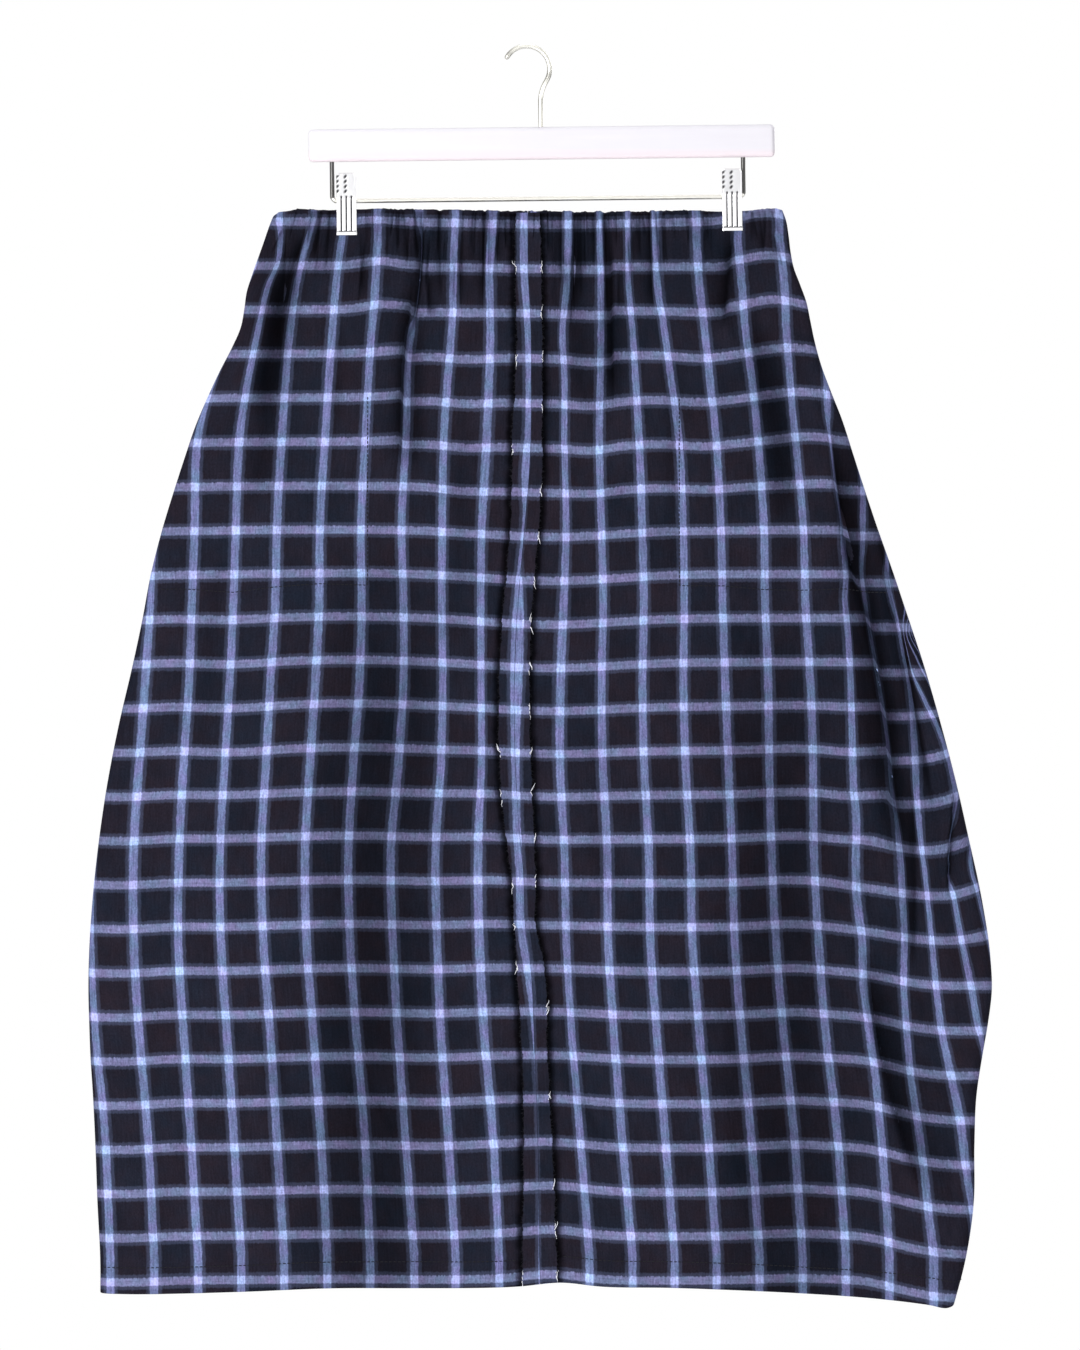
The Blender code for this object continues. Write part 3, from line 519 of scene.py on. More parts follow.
GATHERS = {FRONT: FRONT_GATHERS, BACK: back_gathers()}
FOLDS = {FRONT: FRONT_FOLDS, BACK: BACK_FOLDS}
CREASES = {FRONT: FRONT_CREASES, BACK: BACK_CREASES}
PLEATS = {FRONT: FRONT_PLEATS + fine_pleats(FRONT_GROUPS, GATHER_SEED + 2),
          BACK: back_pleats() + fine_pleats(BACK_GROUPS, GATHER_SEED + 3)}
SMALL_GATHERS = {FRONT: small_gathers(FRONT_GROUPS, GATHER_SEED),
                 BACK: small_gathers(BACK_GROUPS, GATHER_SEED + 1)}
RIPPLES = {FRONT: ripple_waves(RIPPLE_SEED), BACK: ripple_waves(RIPPLE_SEED + 1)}
CHARTS = {"left": chart(-1, LEFT_STRIPES), "right": chart(1, RIGHT_STRIPES, FLANK_STRIPES)}


def pinch(x, drop):
    """1 between a clip's jaws, fading to 0 round them."""
    away = np.min([np.abs(x - place) for place in CLIP_PLACES.values()], axis=0)
    press = 1 - smooth_step((away - PINCH_FLAT) / (PINCH_REACH - PINCH_FLAT))
    return press * (1 - smooth_step((drop - PINCH_DROP_FLAT) / (PINCH_DROP_REACH - PINCH_DROP_FLAT)))


def gather_relief(gathers, waist_x, drop):
    relief = np.zeros_like(waist_x)
    for gather in gathers:
        ridge = np.exp(-((waist_x - gather.x) / gather.width) ** 2)
        relief = relief + gather.height * ridge * (1 - smooth_step(drop / gather.length))
    return relief


def crease_line(fold, drop):
    """The way along a fold, from 0 to 1, and the x of its crease there."""
    along = np.clip((drop - fold.start) / (fold.end - fold.start), 0, 1)
    first = fold.x_start * (1 - along) * (1 - 2 * along)
    middle = fold.x_middle * 4 * along * (1 - along)
    return along, first + middle + fold.x_end * along * (2 * along - 1)


def fold_relief(folds, x, drop):
    relief = np.zeros_like(x)
    for fold in folds:
        along, crease = crease_line(fold, drop)
        strength = smooth_step(along / FOLD_FADE) * smooth_step((1 - along) / FOLD_FADE)
        relief = relief + fold.height * strength * np.exp(-((x - crease) / fold.width) ** 2)
    return relief


def pleat_places(pleats, x, drop):
    """Each pleat, with how far right of its crease points lie and its strength there."""
    for pleat in pleats:
        along, crease = crease_line(pleat, drop)
        strength = smooth_step((1 - along) / FOLD_FADE)
        if pleat.start > 0:
            strength = strength * smooth_step(along / FOLD_FADE)
        yield pleat, x - crease, strength


def valley(past, steep, gentle):
    """1 at the bottom of a crease, falling to 0, steeply past it and gently before it."""
    return np.exp(-np.abs(past) / np.where(past > 0, steep, gentle))


def below_pleats(drop):
    return smooth_step((drop - PLEAT_ZONE) / PLEAT_ZONE_FADE)


def pleat_relief(side, x, drop):
    """Sharp valleys, gentle on one side, with a lip above their steep side."""
    relief = np.zeros_like(x)
    for pleat, away, strength in pleat_places(PLEATS[side], x, drop):
        past = away * pleat.facing
        steep = pleat.width * STEEP_SHARE
        lip = np.exp(-((past - LIP_PLACE * steep) / (LIP_WIDTH * steep)) ** 2)
        relief = relief + pleat.depth * strength * (LIP_SHARE * lip - valley(past, steep, pleat.width))
    limit = PLEAT_LIMIT / (1 - LIMIT_EASE * below_pleats(drop))
    return np.where(relief < 0, limit * np.tanh(relief / limit), relief)


def hides(pleat):
    """Whether a pleat hides a whole stripe in its crease."""
    return pleat.swallow > HIDING_SWALLOW and pleat.depth > 0


def swallowed(side, x, drop):
    """How much further on in the cloth a point lies, near pleats that hide some of it."""
    change = np.zeros_like(x)
    for pleat, away, strength in pleat_places(PLEATS[side], x, drop):
        edge = HIDING_EDGE if hides(pleat) else EDGE_SHARE * pleat.width
        jump = np.tanh(away / edge) * np.exp(-np.abs(away) / max(SWALLOW_REACH, pleat.swallow))
        change = change + .5 * pleat.swallow * strength * jump
    return change


def pleat_slip(side, x, drop):
    depth = np.zeros_like(x)
    slipping = [pleat for pleat in PLEATS[side] if pleat.slip]
    for pleat, away, strength in pleat_places(slipping, x, drop):
        jump = np.tanh(away / (EDGE_SHARE * pleat.width)) * np.exp(-np.abs(away) / SLIP_REACH)
        depth = depth + .5 * pleat.slip * strength * jump
    return depth


def painted_crease_shade(side, across, down):
    """Painted shade for each point of the outer face, from 0 to 1: in pleats and troughs, along pleats that
    hide a stripe, between gathers and beside the raw edges.
    """
    x, drop = lay_flat(side, across, down)
    painted_shade = np.zeros_like(x)
    for pleat, away, strength in pleat_places(PLEATS[side], x, drop):
        shade = min(pleat.depth / PLEAT_SHADE_DEPTH, PLEAT_SHADE_MOST)
        steep = PLEAT_SHADE_STEEP * STEEP_SHARE * pleat.width
        painted_shade = painted_shade + shade * strength * valley(away * pleat.facing, steep, pleat.width)
        if hides(pleat):
            painted_shade = painted_shade + HIDING_SHADE * strength * np.exp(-(away / HIDING_WIDTH) ** 2)
    troughs = [fold for fold in FOLDS[side] + CREASES[side] if fold.height < 0]
    painted_shade = painted_shade - fold_relief(troughs, x, drop) / FOLD_SHADE_DEPTH
    gathered = gather_relief(GATHERS[side] + SMALL_GATHERS[side], at_waist(x, across, drop), drop)
    between = np.clip(1 - gathered / GATHER_SHADE_DEPTH, 0, 1)
    painted_shade = painted_shade + GATHER_SHADE * between * (1 - smooth_step(drop / GATHER_SHADE_END))
    if side == FRONT:
        painted_shade = painted_shade + raw_edge_shade(across, drop)
    return 1 - np.exp(-painted_shade)


def raw_edge_shade(across, drop):
    """Painted shadow beside the curled raw edges of the centre-front seam."""
    shade = np.zeros_like(drop)
    for panel, sign in SIGNS.items():
        beyond = across * sign * half_girth(across, drop) - strip_width(panel, drop)
        near = np.exp(-(np.clip(beyond - RAW_SHADE_START, 0, None) / RAW_SHADE_WIDTH) ** 2)
        near = near * smooth_step(beyond / RAW_SHADE_RISE + 1)
        shade = shade + RAW_SHADE * raw_curl(panel, drop, *RAW_SHADE_CURL) * near
    return shade


def ripple_relief(side, x, drop):
    waves = [np.sin(wave.turn_x * x + wave.turn_z * drop + wave.phase) for wave in RIPPLES[side]]
    return RIPPLE_HEIGHT * np.sum(waves, axis=0)


def cloth_length(side, across):
    """Length of the cloth down one line, a little more at the back."""
    extra = BACK_HEM_EXTRA * (1 - across**2) if side == BACK else 0
    return read(EDGES, "length", across) + extra


def edge_distance(across, drop):
    """From the seam to the side edge on that side, seen from the front."""
    seam = read(SEAM, "x", drop)
    return np.where(across < 0, read(SECTIONS, "left", drop) + seam, read(SECTIONS, "right", drop) - seam)


def half_girth(across, drop):
    """Length of the outer wall from the seam to the side edge."""
    return edge_distance(across, drop) + read(SECTIONS, "side_radius", drop) * (math.pi / 2 - 1)


def at_waist(x, across, drop):
    """x carried up to the waist, as gathers run."""
    return x * edge_distance(across, np.zeros_like(drop)) / edge_distance(across, drop)


def spread_x(across, drop):
    """x as if the rounded side were laid out flat."""
    return read(SEAM, "x", drop) + across * half_girth(across, drop)


def lay_flat(side, across, down):
    """x on cloth laid out flat, and the drop."""
    drop = down * cloth_length(side, across)
    return spread_x(across, drop), drop


def outer_point(side, across, down, fine=1):
    """Points of the skirt's outer surface, with its fine relief or, if fine is 0, without it."""
    across = np.asarray(across, dtype=float)
    down = np.asarray(down, dtype=float)
    drop = down * cloth_length(side, across)
    radius = read(SECTIONS, "side_radius", drop)
    flat = edge_distance(across, drop) - radius
    girth = half_girth(across, drop)
    away = np.abs(across) * girth
    sign = np.where(across < 0, -1, 1)
    turn = np.clip((away - flat) / radius, 0, math.pi / 2)
    x = read(SEAM, "x", drop) + sign * (np.minimum(away, flat) + radius * np.sin(turn))

    inward = np.clip(away / flat, 0, 1)
    depth = radius + (read(SECTIONS, "half_depth", drop) - radius) * (1 - inward**2) ** LENS_POWER
    waist_x = at_waist(x, across, drop)
    relief = gather_relief(GATHERS[side], waist_x, drop) + fold_relief(FOLDS[side], x, drop)
    small = gather_relief(SMALL_GATHERS[side], waist_x, drop) + fold_relief(CREASES[side], x, drop)
    small = small + ripple_relief(side, x, drop) * smooth_step(drop / CASING_DEPTH)
    small = small + pleat_relief(side, x, drop)
    fade = smooth_step((1 - inward) / SIDE_FADE)
    press = pinch(x, drop)
    depth = (depth + (relief + small * fine) * fade) * (1 - press) + PINCH_HALF_DEPTH * press
    roll = SEAM_ROLL * np.exp(-((girth - away) / SEAM_ROLL_REACH) ** 2)
    z = WAIST_Z - read(EDGES, "waist_dip", across) * (1 - down) - drop
    z = z + SCALLOP * relief * fade * (1 - press) * (1 - smooth_step(drop / SCALLOP_DEPTH))
    return np.stack([x - sign * roll * np.sin(turn), side * depth * np.cos(turn), z], axis=-1)


def outer_normal(side, across, down, fine=1):
    """Directions out of the cloth, from points a little to each side."""
    step = SAMPLE_STEP
    along_x = outer_point(side, across + step, down, fine) - outer_point(side, across - step, down, fine)
    along_z = outer_point(side, across, down + step, fine) - outer_point(side, across, down - step, fine)
    return unit(np.cross(along_x, along_z) * side)


def thickness(side, across, down):
    """Thickness of the cloth, doubled at the casing and the hem."""
    length = cloth_length(side, across)
    drop = down * length
    casing = 1 - smooth_step((drop - CASING_DEPTH) / STEP_DEPTH)
    hem = smooth_step((drop - length + HEM_DEPTH + STEP_DEPTH) / STEP_DEPTH)
    return CLOTH_THICK + (CASING_THICK - CLOTH_THICK) * casing + (HEM_THICK - CLOTH_THICK) * hem


def inner_point(side, across, down):
    """The cloth's inner face, smooth behind the pleats and following the creases below them."""
    x, drop = lay_flat(side, across, down)
    fine = below_pleats(drop)
    thick = thickness(side, across, down) + PLEAT_ROOM * (1 - fine) * (1 - pinch(x, drop))
    normal = outer_normal(side, across, down, fine)
    return outer_point(side, across, down, fine) - normal * thick[..., None]


def stripe_number(panel, x, drop):
    """Which upright stripe lies at x, as a number with its fraction, between placed stripes."""
    charted = CHARTS[panel]
    places = [read(SEAM, "x", drop)] + [read(table, column, drop) for table, column, number in charted]
    values = [read(AT_FOLD, panel, drop) / STRIPE_PITCH] + [number for table, column, number in charted]
    result = values[0]
    for index in range(len(charted)):
        share = (x - places[index]) / (places[index + 1] - places[index])
        lowest = 0 if index else -np.inf
        highest = 1 if index < len(charted) - 1 else np.inf
        result = result + np.clip(share, lowest, highest) * (values[index + 1] - values[index])
    return result


def upright_stripes(side, across, down):
    x, drop = lay_flat(side, across, down)
    x = x + swallowed(side, x, drop)
    if side == BACK:
        return x / read(BACK_PITCH, "size", drop)
    return np.where(across < 0, stripe_number("left", x, drop), stripe_number("right", x, drop))


def sag(side, across, down):
    """How far the level stripes lie below level."""
    x, drop = lay_flat(side, across, down)
    depth = read(SAGS, "depth", drop) * np.exp(-((x - SAG_X) / read(SAGS, "width", drop)) ** 2)
    if side == BACK:
        return depth * BACK_SAG
    past = smooth_step((x - read(FOLD_SLIPS, "x", drop)) / read(FOLD_SLIPS, "width", drop) + .5)
    depth = depth + past * read(FOLD_SLIPS, "depth", drop)
    return depth + fold_relief(LEVEL_SHIFTS, x, drop) + pleat_slip(side, x, drop)


def level_stripes(side, across, down):
    z = outer_point(side, across, down)[..., 2]
    return (LEVEL_TOP_Z - z - sag(side, across, down)) / LEVEL_PITCH


def cloth_map(side, across, down):
    """The check's two coordinates, a whole number at the middle of each stripe."""
    return np.stack([upright_stripes(side, across, down), level_stripes(side, across, down)], axis=-1)


def half_round(first, last, up):
    """Rows that round off the edge between two rows of points, upwards (1) or downwards (-1)."""
    half = (first - last) / 2
    rise = np.linalg.norm(half, axis=-1, keepdims=True) * np.array([0, 0, up])
    angles = math.pi * np.arange(1, RIM_STEPS) / RIM_STEPS
    return [(first + last) / 2 + half * math.cos(angle) + rise * math.sin(angle) for angle in angles]


def stitch_rows(first, second):
    """Faces between two rows of point numbers, one of which may have a multiple of the other."""
    if len(first) < len(second):
        return [face[::-1] for face in stitch_rows(second, first)]
    ratio = (len(first) - 1) // (len(second) - 1)
    faces = []
    for number in range(len(second) - 1):
        fine = first[number * ratio:(number + 1) * ratio + 1]
        faces.append([second[number], second[number + 1]] + fine[::-1])
    return faces


def end_faces(outer, bottom, inner, top, picks, end):
    """Faces that close a shell at its first or last column."""
    faces = []
    for number in range(len(picks) - 1):
        run = [outer[row][end] for row in range(picks[number], picks[number + 1] + 1)]
        faces.append(run + [inner[number + 1][end], inner[number][end]])
    faces.append([outer[-1][end]] + [row[end] for row in bottom] + [inner[-1][end]])
    faces.append([inner[0][end]] + [row[end] for row in top] + [outer[0][end]])
    return faces


def make_shell(name, outer, inner, top_inner, maps, picks, shades=(np.zeros(0),)):
    """A thin closed cloth through outer rows and inner rows, which lie behind the picked ones.

    top_inner is the inner face's first row at the outer face's columns, and maps and shades
    (the painted crease shade) have one value for each outer point.
    """
    bottom = half_round(outer[-1], inner[-1], -1)
    top = half_round(top_inner, outer[0], 1)
    inner_maps = [maps[row][::(len(maps[row]) - 1) // (len(points) - 1)]
                  for row, points in zip(picks, inner)]
    uvs = np.concatenate([*maps, *[maps[-1]] * len(bottom), *inner_maps, *[maps[0]] * len(top)])
    numbers = []
    start = 0
    for row in (*outer, *bottom, *inner, *top):
        numbers.append(list(range(start, start + len(row))))
        start += len(row)
    back = len(outer) + len(bottom)
    crown = back + len(inner)
    parts = (numbers[:len(outer)], numbers[len(outer):back], numbers[back:crown], numbers[crown:])
    ring = parts[0] + parts[1] + parts[2][::-1] + parts[3]
    faces = []
    for first, second in zip(ring, ring[1:] + ring[:1]):
        faces += stitch_rows(first, second)
    faces += end_faces(*parts, picks, 0)
    faces += [face[::-1] for face in end_faces(*parts, picks, -1)]
    mesh = new_mesh(name, np.concatenate([*outer, *bottom, *inner, *top]), faces)
    turn_outwards(mesh)
    corners = np.zeros(len(mesh.loops), dtype=np.int32)
    mesh.loops.foreach_get("vertex_index", corners)
    layer = mesh.uv_layers.new(name="cloth")
    layer.data.foreach_set("uv", uvs[corners].astype(np.float32).ravel())
    # painted shade in creases, between gathers and beside the raw edges, kept for the linen's colour
    keep_shade(mesh, "crease", np.concatenate(shades))
    return add_piece(name, mesh)


def new_mesh(name, points, faces):
    mesh = bpy.data.meshes.new(name)
    mesh.from_pydata(points.reshape(-1, 3).tolist(), [], faces)
    return mesh


def keep_shade(mesh, name, values):
    """Store a painted shade, one value for each of a mesh's first points, and 0 for the rest."""
    colours = np.zeros((len(mesh.vertices), 4), dtype=np.float32)
    colours[:len(values), :3] = values[:, None]
    colours[:, 3] = 1
    mesh.color_attributes.new(name, "FLOAT_COLOR", "POINT").data.foreach_set("color", colours.ravel())


def turn_outwards(mesh):
    work = bmesh.new()
    work.from_mesh(mesh)
    bmesh.ops.recalc_face_normals(work, faces=work.faces)
    work.to_mesh(mesh)
    work.free()


def add_object(name, data):
    item = bpy.data.objects.new(name, data)
    bpy.context.scene.collection.objects.link(item)
    return item


def add_piece(name, mesh):
    mesh.shade_smooth()
    mesh.set_sharp_from_angle(angle=SHARP_ANGLE)
    return add_object(name, mesh)


def row_places():
    """Ways down the cloth, close together in the casing and at the hem."""
    casing_end = CASING_DEPTH + STEP_DEPTH
    hem_start = LONGEST - HEM_DEPTH - STEP_DEPTH
    casing = np.linspace(CASING_THICK / 2, casing_end, CASING_ROWS, endpoint=False)
    fine = np.linspace(casing_end, FINE_DEPTH, FINE_ROWS, endpoint=False)
    body = np.linspace(FINE_DEPTH, hem_start, BODY_ROWS, endpoint=False)
    hem = np.linspace(hem_start, LONGEST - HEM_THICK / 2, HEM_ROWS)
    return np.concatenate([casing, fine, body, hem]) / LONGEST


def side_columns(sign, down, flat_columns, arc_columns):
    """Ways across one row from the seam to one side edge, even on the flat and on the arc."""
    near = np.array([sign * SAMPLE_STEP])
    drop = down * cloth_length(FRONT, near)
    girth = half_girth(near, drop)[0]
    flat = girth - read(SECTIONS, "side_radius", drop)[0] * math.pi / 2
    on_flat = np.linspace(GAP / 2, flat, flat_columns, endpoint=False)
    on_arc = np.linspace(flat, girth - GAP / 2, arc_columns + 1)
    return sign * np.concatenate([on_flat, on_arc]) / girth


def row_columns(panel, down, times):
    """Ways across one row of a front or the back."""
    if panel == "back":
        left, right = [side_columns(sign, down, BACK_FLAT_COLUMNS * times, ARC_COLUMNS * times)
                       for sign in (-1, 1)]
        return np.concatenate([left[:0:-1], [0], right[1:]])
    return side_columns(SIGNS[panel], down, FLAT_COLUMNS * times, ARC_COLUMNS * times)


def panel_grid(panel, downs, times):
    """Ways across and down of each point in some rows."""
    across = np.array([row_columns(panel, down, times) for down in downs])
    return across, np.repeat(downs[:, None], across.shape[1], axis=1)


def make_panel(name, panel):
    """One cloth panel, sampled row by row from the surface."""
    side = BACK if panel == "back" else FRONT
    downs = row_places()
    fine_rows = CASING_ROWS + FINE_ROWS
    outer, maps, shades = [], [], []
    for part, times in ((downs[:fine_rows], 2), (downs[fine_rows:], 1)):
        grid = panel_grid(panel, part, times)
        outer += list(outer_point(side, *grid))
        maps += list(cloth_map(side, *grid))
        shades += list(painted_crease_shade(side, *grid))
    picks = sorted({*range(0, len(downs), 2), len(downs) - 1})
    inner = list(inner_point(side, *panel_grid(panel, downs[picks], 1)))
    top_inner = inner_point(side, *panel_grid(panel, downs[:1], 2))[0]
    return make_shell(name, outer, inner, top_inner, maps, picks, shades)


def make_plain_shell(name, outer, inner, maps):
    """A shell whose outer and inner grids match."""
    return make_shell(name, list(outer), list(inner), inner[0], list(maps), list(range(len(outer))))


# Raw edges of the centre-front seam
RAW_WOBBLE = .0006
RAW_CURL = .0011
RAW_CURL_SHAPE = (.55, .45, .05, 1.2)
STRIP_RISE = .25
RAW_SEED = {"left": 21, "right": 22}
CURL_SEED = 10
RAW_WAVES = ((.011, .6), (.023, .7), (.047, .7), (.0043, .6), (.0061, .5))
RAW_WAVE_MOST = 1.8


def raw_wave(panel, drop, shift):
    """Uneven waves along a raw edge, about -1 to 1."""
    draw = np.random.default_rng(RAW_SEED[panel] + shift).uniform
    wave = np.zeros_like(drop)
    for length, share in RAW_WAVES:
        wave = wave + share * np.sin(FULL_TURN * drop / length + draw(*PHASES))
    return wave / RAW_WAVE_MOST


def raw_curl(panel, drop, mean, swing, least, most):
    """How far a raw edge curls up, unevenly."""
    return np.clip(mean + swing * raw_wave(panel, drop, CURL_SEED), least, most)


def strip_width(panel, drop):
    return read(SEAM, panel, drop) + RAW_WOBBLE * raw_wave(panel, drop, 0)


def strip_raise(panel, share, drop):
    """Height of a strip's underside over the front, curling up towards its raw edge."""
    curl = raw_curl(panel, drop, *RAW_CURL_SHAPE)
    return GAP * smooth_step(share / STRIP_RISE) + RAW_CURL * curl * share**3


def side_lines(panel, downs):
    """Sign of a front, and just beside the seam the way across and drop of each row."""
    near = np.full_like(downs, SIGNS[panel] * SAMPLE_STEP)
    return SIGNS[panel], near, downs * cloth_length(FRONT, near)


def make_strip(panel):
    """One raw seam allowance, turned open on the outside of its front."""
    downs = np.linspace(STRIP_THICK / LONGEST, 1 - STRIP_THICK / LONGEST, STRIP_ROWS)
    sign, near, drop = side_lines(panel, downs)
    share = np.linspace(0, 1, STRIP_COLUMNS)
    distance = GAP / 2 + (strip_width(panel, drop)[:, None] - GAP / 2) * share
    across = sign * distance / half_girth(near, drop)[:, None]
    down = np.repeat(downs[:, None], STRIP_COLUMNS, axis=1)
    drops = np.repeat(drop[:, None], STRIP_COLUMNS, axis=1)
    normal = outer_normal(FRONT, across, down)
    inner = outer_point(FRONT, across, down) + normal * strip_raise(panel, share, drops)[..., None]
    upright = (read(AT_FOLD, panel, drops) - sign * distance) / STRIPE_PITCH
    maps = np.stack([upright, level_stripes(FRONT, across, down)], axis=-1)
    return make_plain_shell(f"seam_strip_{panel}", inner + normal * STRIP_THICK, inner, maps)


POCKET_TOP = .135
POCKET_BOTTOM = .290
POCKET_INNER = {"left": .1225, "right": .1170}


def make_pocket(panel):
    """A pocket bag flat behind its front."""
    downs = np.linspace(POCKET_TOP, POCKET_BOTTOM, POCKET_POINTS) / LONGEST
    sign, near, drop = side_lines(panel, downs)
    girth = half_girth(near, drop)[:, None]
    start = (POCKET_INNER[panel] - sign * read(SEAM, "x", drop))[:, None]
    distance = start + (girth - GAP / 2 - start) * np.linspace(0, 1, POCKET_POINTS)
    across = sign * distance / girth
    down = np.repeat(downs[:, None], POCKET_POINTS, axis=1)
    normal = outer_normal(FRONT, across, down)
    outer = inner_point(FRONT, across, down) - normal * GAP
    inner = outer - normal * POCKET_THICK
    return make_plain_shell(f"pocket_{panel}", outer, inner, cloth_map(FRONT, across, down))


# Threads, as many small tubes in one mesh
THREAD_SIDES = 5
THREAD_POINTS = 5
DENSE = 400
NEARLY_ALONG = .9


def make_tubes(name, paths, first, second, radii, sides):
    """One mesh of round tubes: paths and two directions across as (tube, point, xyz)."""
    count, steps = paths.shape[:2]
    angles = FULL_TURN * np.arange(sides)[:, None] / sides
    ring = first[:, :, None] * np.cos(angles) + second[:, :, None] * np.sin(angles)
    points = paths[:, :, None] + ring * np.broadcast_to(radii, (count, steps))[..., None, None]
    index = np.arange(count * steps * sides).reshape(count, steps, sides)
    turned = np.roll(index, -1, axis=2)
    quads = np.stack([index[:, :-1], turned[:, :-1], turned[:, 1:], index[:, 1:]], axis=-1)
    caps = np.concatenate([index[:, 0, ::-1], index[:, -1]]).tolist()
    return add_piece(name, new_mesh(name, points, quads.reshape(-1, 4).tolist() + caps))


def make_threads(name, paths, radii):
    tangent = unit(np.gradient(paths, axis=1))
    guide = np.where(np.abs(tangent[..., 1:2]) > NEARLY_ALONG, (0, 0, 1), (0, 1, 0))
    first = unit(np.cross(tangent, guide))
    return make_tubes(name, paths, first, np.cross(tangent, first), radii, THREAD_SIDES)


def path_reach(points):
    """How far along a line of points each one lies."""
    return np.concatenate([[0], np.cumsum(np.linalg.norm(np.diff(points, axis=0), axis=1))])


# Sewn lines: the pockets' edges on the fronts, and the hem
STITCH_SPACING = .0034
STITCH_LENGTH = .0024
STITCH_RADII = .00036 * np.array([.5, 1, 1, 1, .5])
STITCH_LIFT = .0004
STITCH_SINK = -.0001
HEM_STITCH = .0203
HEM_ENDS = {"left": (-.995, -.045), "right": (.045, .995), "back": (-.995, .995)}
SeamPoint = namedtuple("SeamPoint", "x drop")
POCKET_LINES = {
    "left": rows(
        SeamPoint,
        (-.122, .14), (-.1222, .23), (-.1222, .288), (-.159, .2872), (-.1921, .2903), (-.2252, .2941),
        (-.26, .2911), (-.283, .29),
    ),
    "right": rows(
        SeamPoint,
        (.1174, .14), (.1174, .23), (.1176, .2876), (.1513, .288), (.1829, .2911), (.2113, .2918),
        (.2445, .2911), (.264, .2941), (.28, .2945),
    ),
}


def stitch_paths(side, across, down):
    """Stitches along a dense line on the cloth, each lifted at its middle."""
    reach = path_reach(outer_point(side, across, down))
    starts = np.arange(STITCH_SPACING, reach[-1] - STITCH_SPACING, STITCH_SPACING)
    share = np.linspace(0, 1, THREAD_POINTS)
    at = starts[:, None] + STITCH_LENGTH * share
    place = np.interp(at, reach, across), np.interp(at, reach, down)
    lift = STITCH_SINK + (STITCH_LIFT - STITCH_SINK) * np.sin(math.pi * share)
    return outer_point(side, *place) + outer_normal(side, *place) * lift[:, None]


def pocket_stitches(panel):
    line = np.array(POCKET_LINES[panel])
    reach = path_reach(line)
    at = np.linspace(0, reach[-1], DENSE)
    x, drop = [np.interp(at, reach, line[:, axis]) for axis in (0, 1)]
    seam = read(SEAM, "x", drop)
    near = np.where(x < seam, -SAMPLE_STEP, SAMPLE_STEP)
    across = (x - seam) / half_girth(near, drop)
    return stitch_paths(FRONT, across, drop / cloth_length(FRONT, across))


def make_stitches(panel):
    side = BACK if panel == "back" else FRONT
    across = np.linspace(*HEM_ENDS[panel], DENSE)
    paths = stitch_paths(side, across, 1 - HEM_STITCH / cloth_length(side, across))
    if side == FRONT:
        paths = np.concatenate([pocket_stitches(panel), paths])
    return make_threads(f"stitches_{panel}", paths, STITCH_RADII)


# Frayed threads along the raw edges
FRAY_SPACING = .0008
FRAY_RADIUS = .00018
FRAY_REACH = (.0008, .0030)
FRAY_TAPER = np.array([1, 1, .9, .7, .4])
FRAY_SEED = {"left": 31, "right": 32}
FRAY_SHIFTS = (-.4, .4)
FRAY_SLANTS = (-1.3, 1.35)
FRAY_BEND = 1.5
FRAY_ROOT = -.0004
FRAY_LIFT = .0001
FRAY_ENDS = (.006, .818)
TUFT_ENDS = (.004, .822)
TUFT_RAISED = (.0004, .0014)
TUFT_SLANTS = (1.1, 1.5)
TUFT_SHARE = .62
TUFT_THREADS = 3
TUFT_SPREAD = .0034
TUFT_REACH = (.0018, .0068)
TUFT_RADIUS = .00032


def edge_point(panel, drop, outward, raised):
    """Points beside a raw edge, outward from it and raised over the front."""
    near = np.full_like(drop, SIGNS[panel] * SAMPLE_STEP)
    across = SIGNS[panel] * (strip_width(panel, drop) + outward) / half_girth(near, drop)
    down = drop / cloth_length(FRONT, near)
    lift = strip_raise(panel, 1, drop) + raised
    return outer_point(FRONT, across, down) + outer_normal(FRONT, across, down) * lift[..., None]


def thread_fan(panel, drops, reach, slant, raised):
    """Threads that leave a raw edge, each by its own reach and slant along the edge."""
    share = np.linspace(0, 1, THREAD_POINTS)
    outward = (reach * np.cos(slant))[:, None] * share + FRAY_ROOT
    along = drops[:, None] + (reach * np.sin(slant))[:, None] * share**FRAY_BEND
    return edge_point(panel, along, outward, raised[:, None] * (1 - share) + FRAY_LIFT)


def crossings(panel):
    """Drops at which the level stripes meet a raw edge."""
    drops = np.linspace(*TUFT_ENDS, DENSE * 4)
    near = np.full_like(drops, SIGNS[panel] * SAMPLE_STEP)
    level = level_stripes(FRONT, near, drops / cloth_length(FRONT, near))
    return np.interp(np.arange(math.ceil(level[0]), math.floor(level[-1]) + 1), level, drops)


def make_fray(panel):
    """Short dark threads all along a raw edge, near black so that they also paint the shadow beside it, and
    pale tufts where pale stripes meet it.
    """
    random = np.random.default_rng(FRAY_SEED[panel])
    drops = np.arange(*FRAY_ENDS, FRAY_SPACING)
    count = len(drops)
    drops = drops + random.uniform(*FRAY_SHIFTS, count) * FRAY_SPACING
    reach = random.uniform(*FRAY_REACH, count)
    slant = random.uniform(*FRAY_SLANTS, count)
    dark_and_shadow = thread_fan(panel, drops, reach, slant, random.uniform(0, STRIP_THICK, count))
    drops = crossings(panel)
    drops = np.repeat(drops[random.random(len(drops)) < TUFT_SHARE], TUFT_THREADS)
    count = len(drops)
    drops = drops + random.uniform(-TUFT_SPREAD, TUFT_SPREAD, count)
    slant = random.choice([-1, 1], count) * random.uniform(*TUFT_SLANTS, count)
    reach = random.uniform(*TUFT_REACH, count)
    pale = thread_fan(panel, drops, reach, slant, random.uniform(*TUFT_RAISED, count))
    return (make_threads(f"fray_dark_and_shadow_{panel}", dark_and_shadow, FRAY_RADIUS * FRAY_TAPER),
            make_threads(f"fray_pale_{panel}", pale, TUFT_RADIUS * FRAY_TAPER))


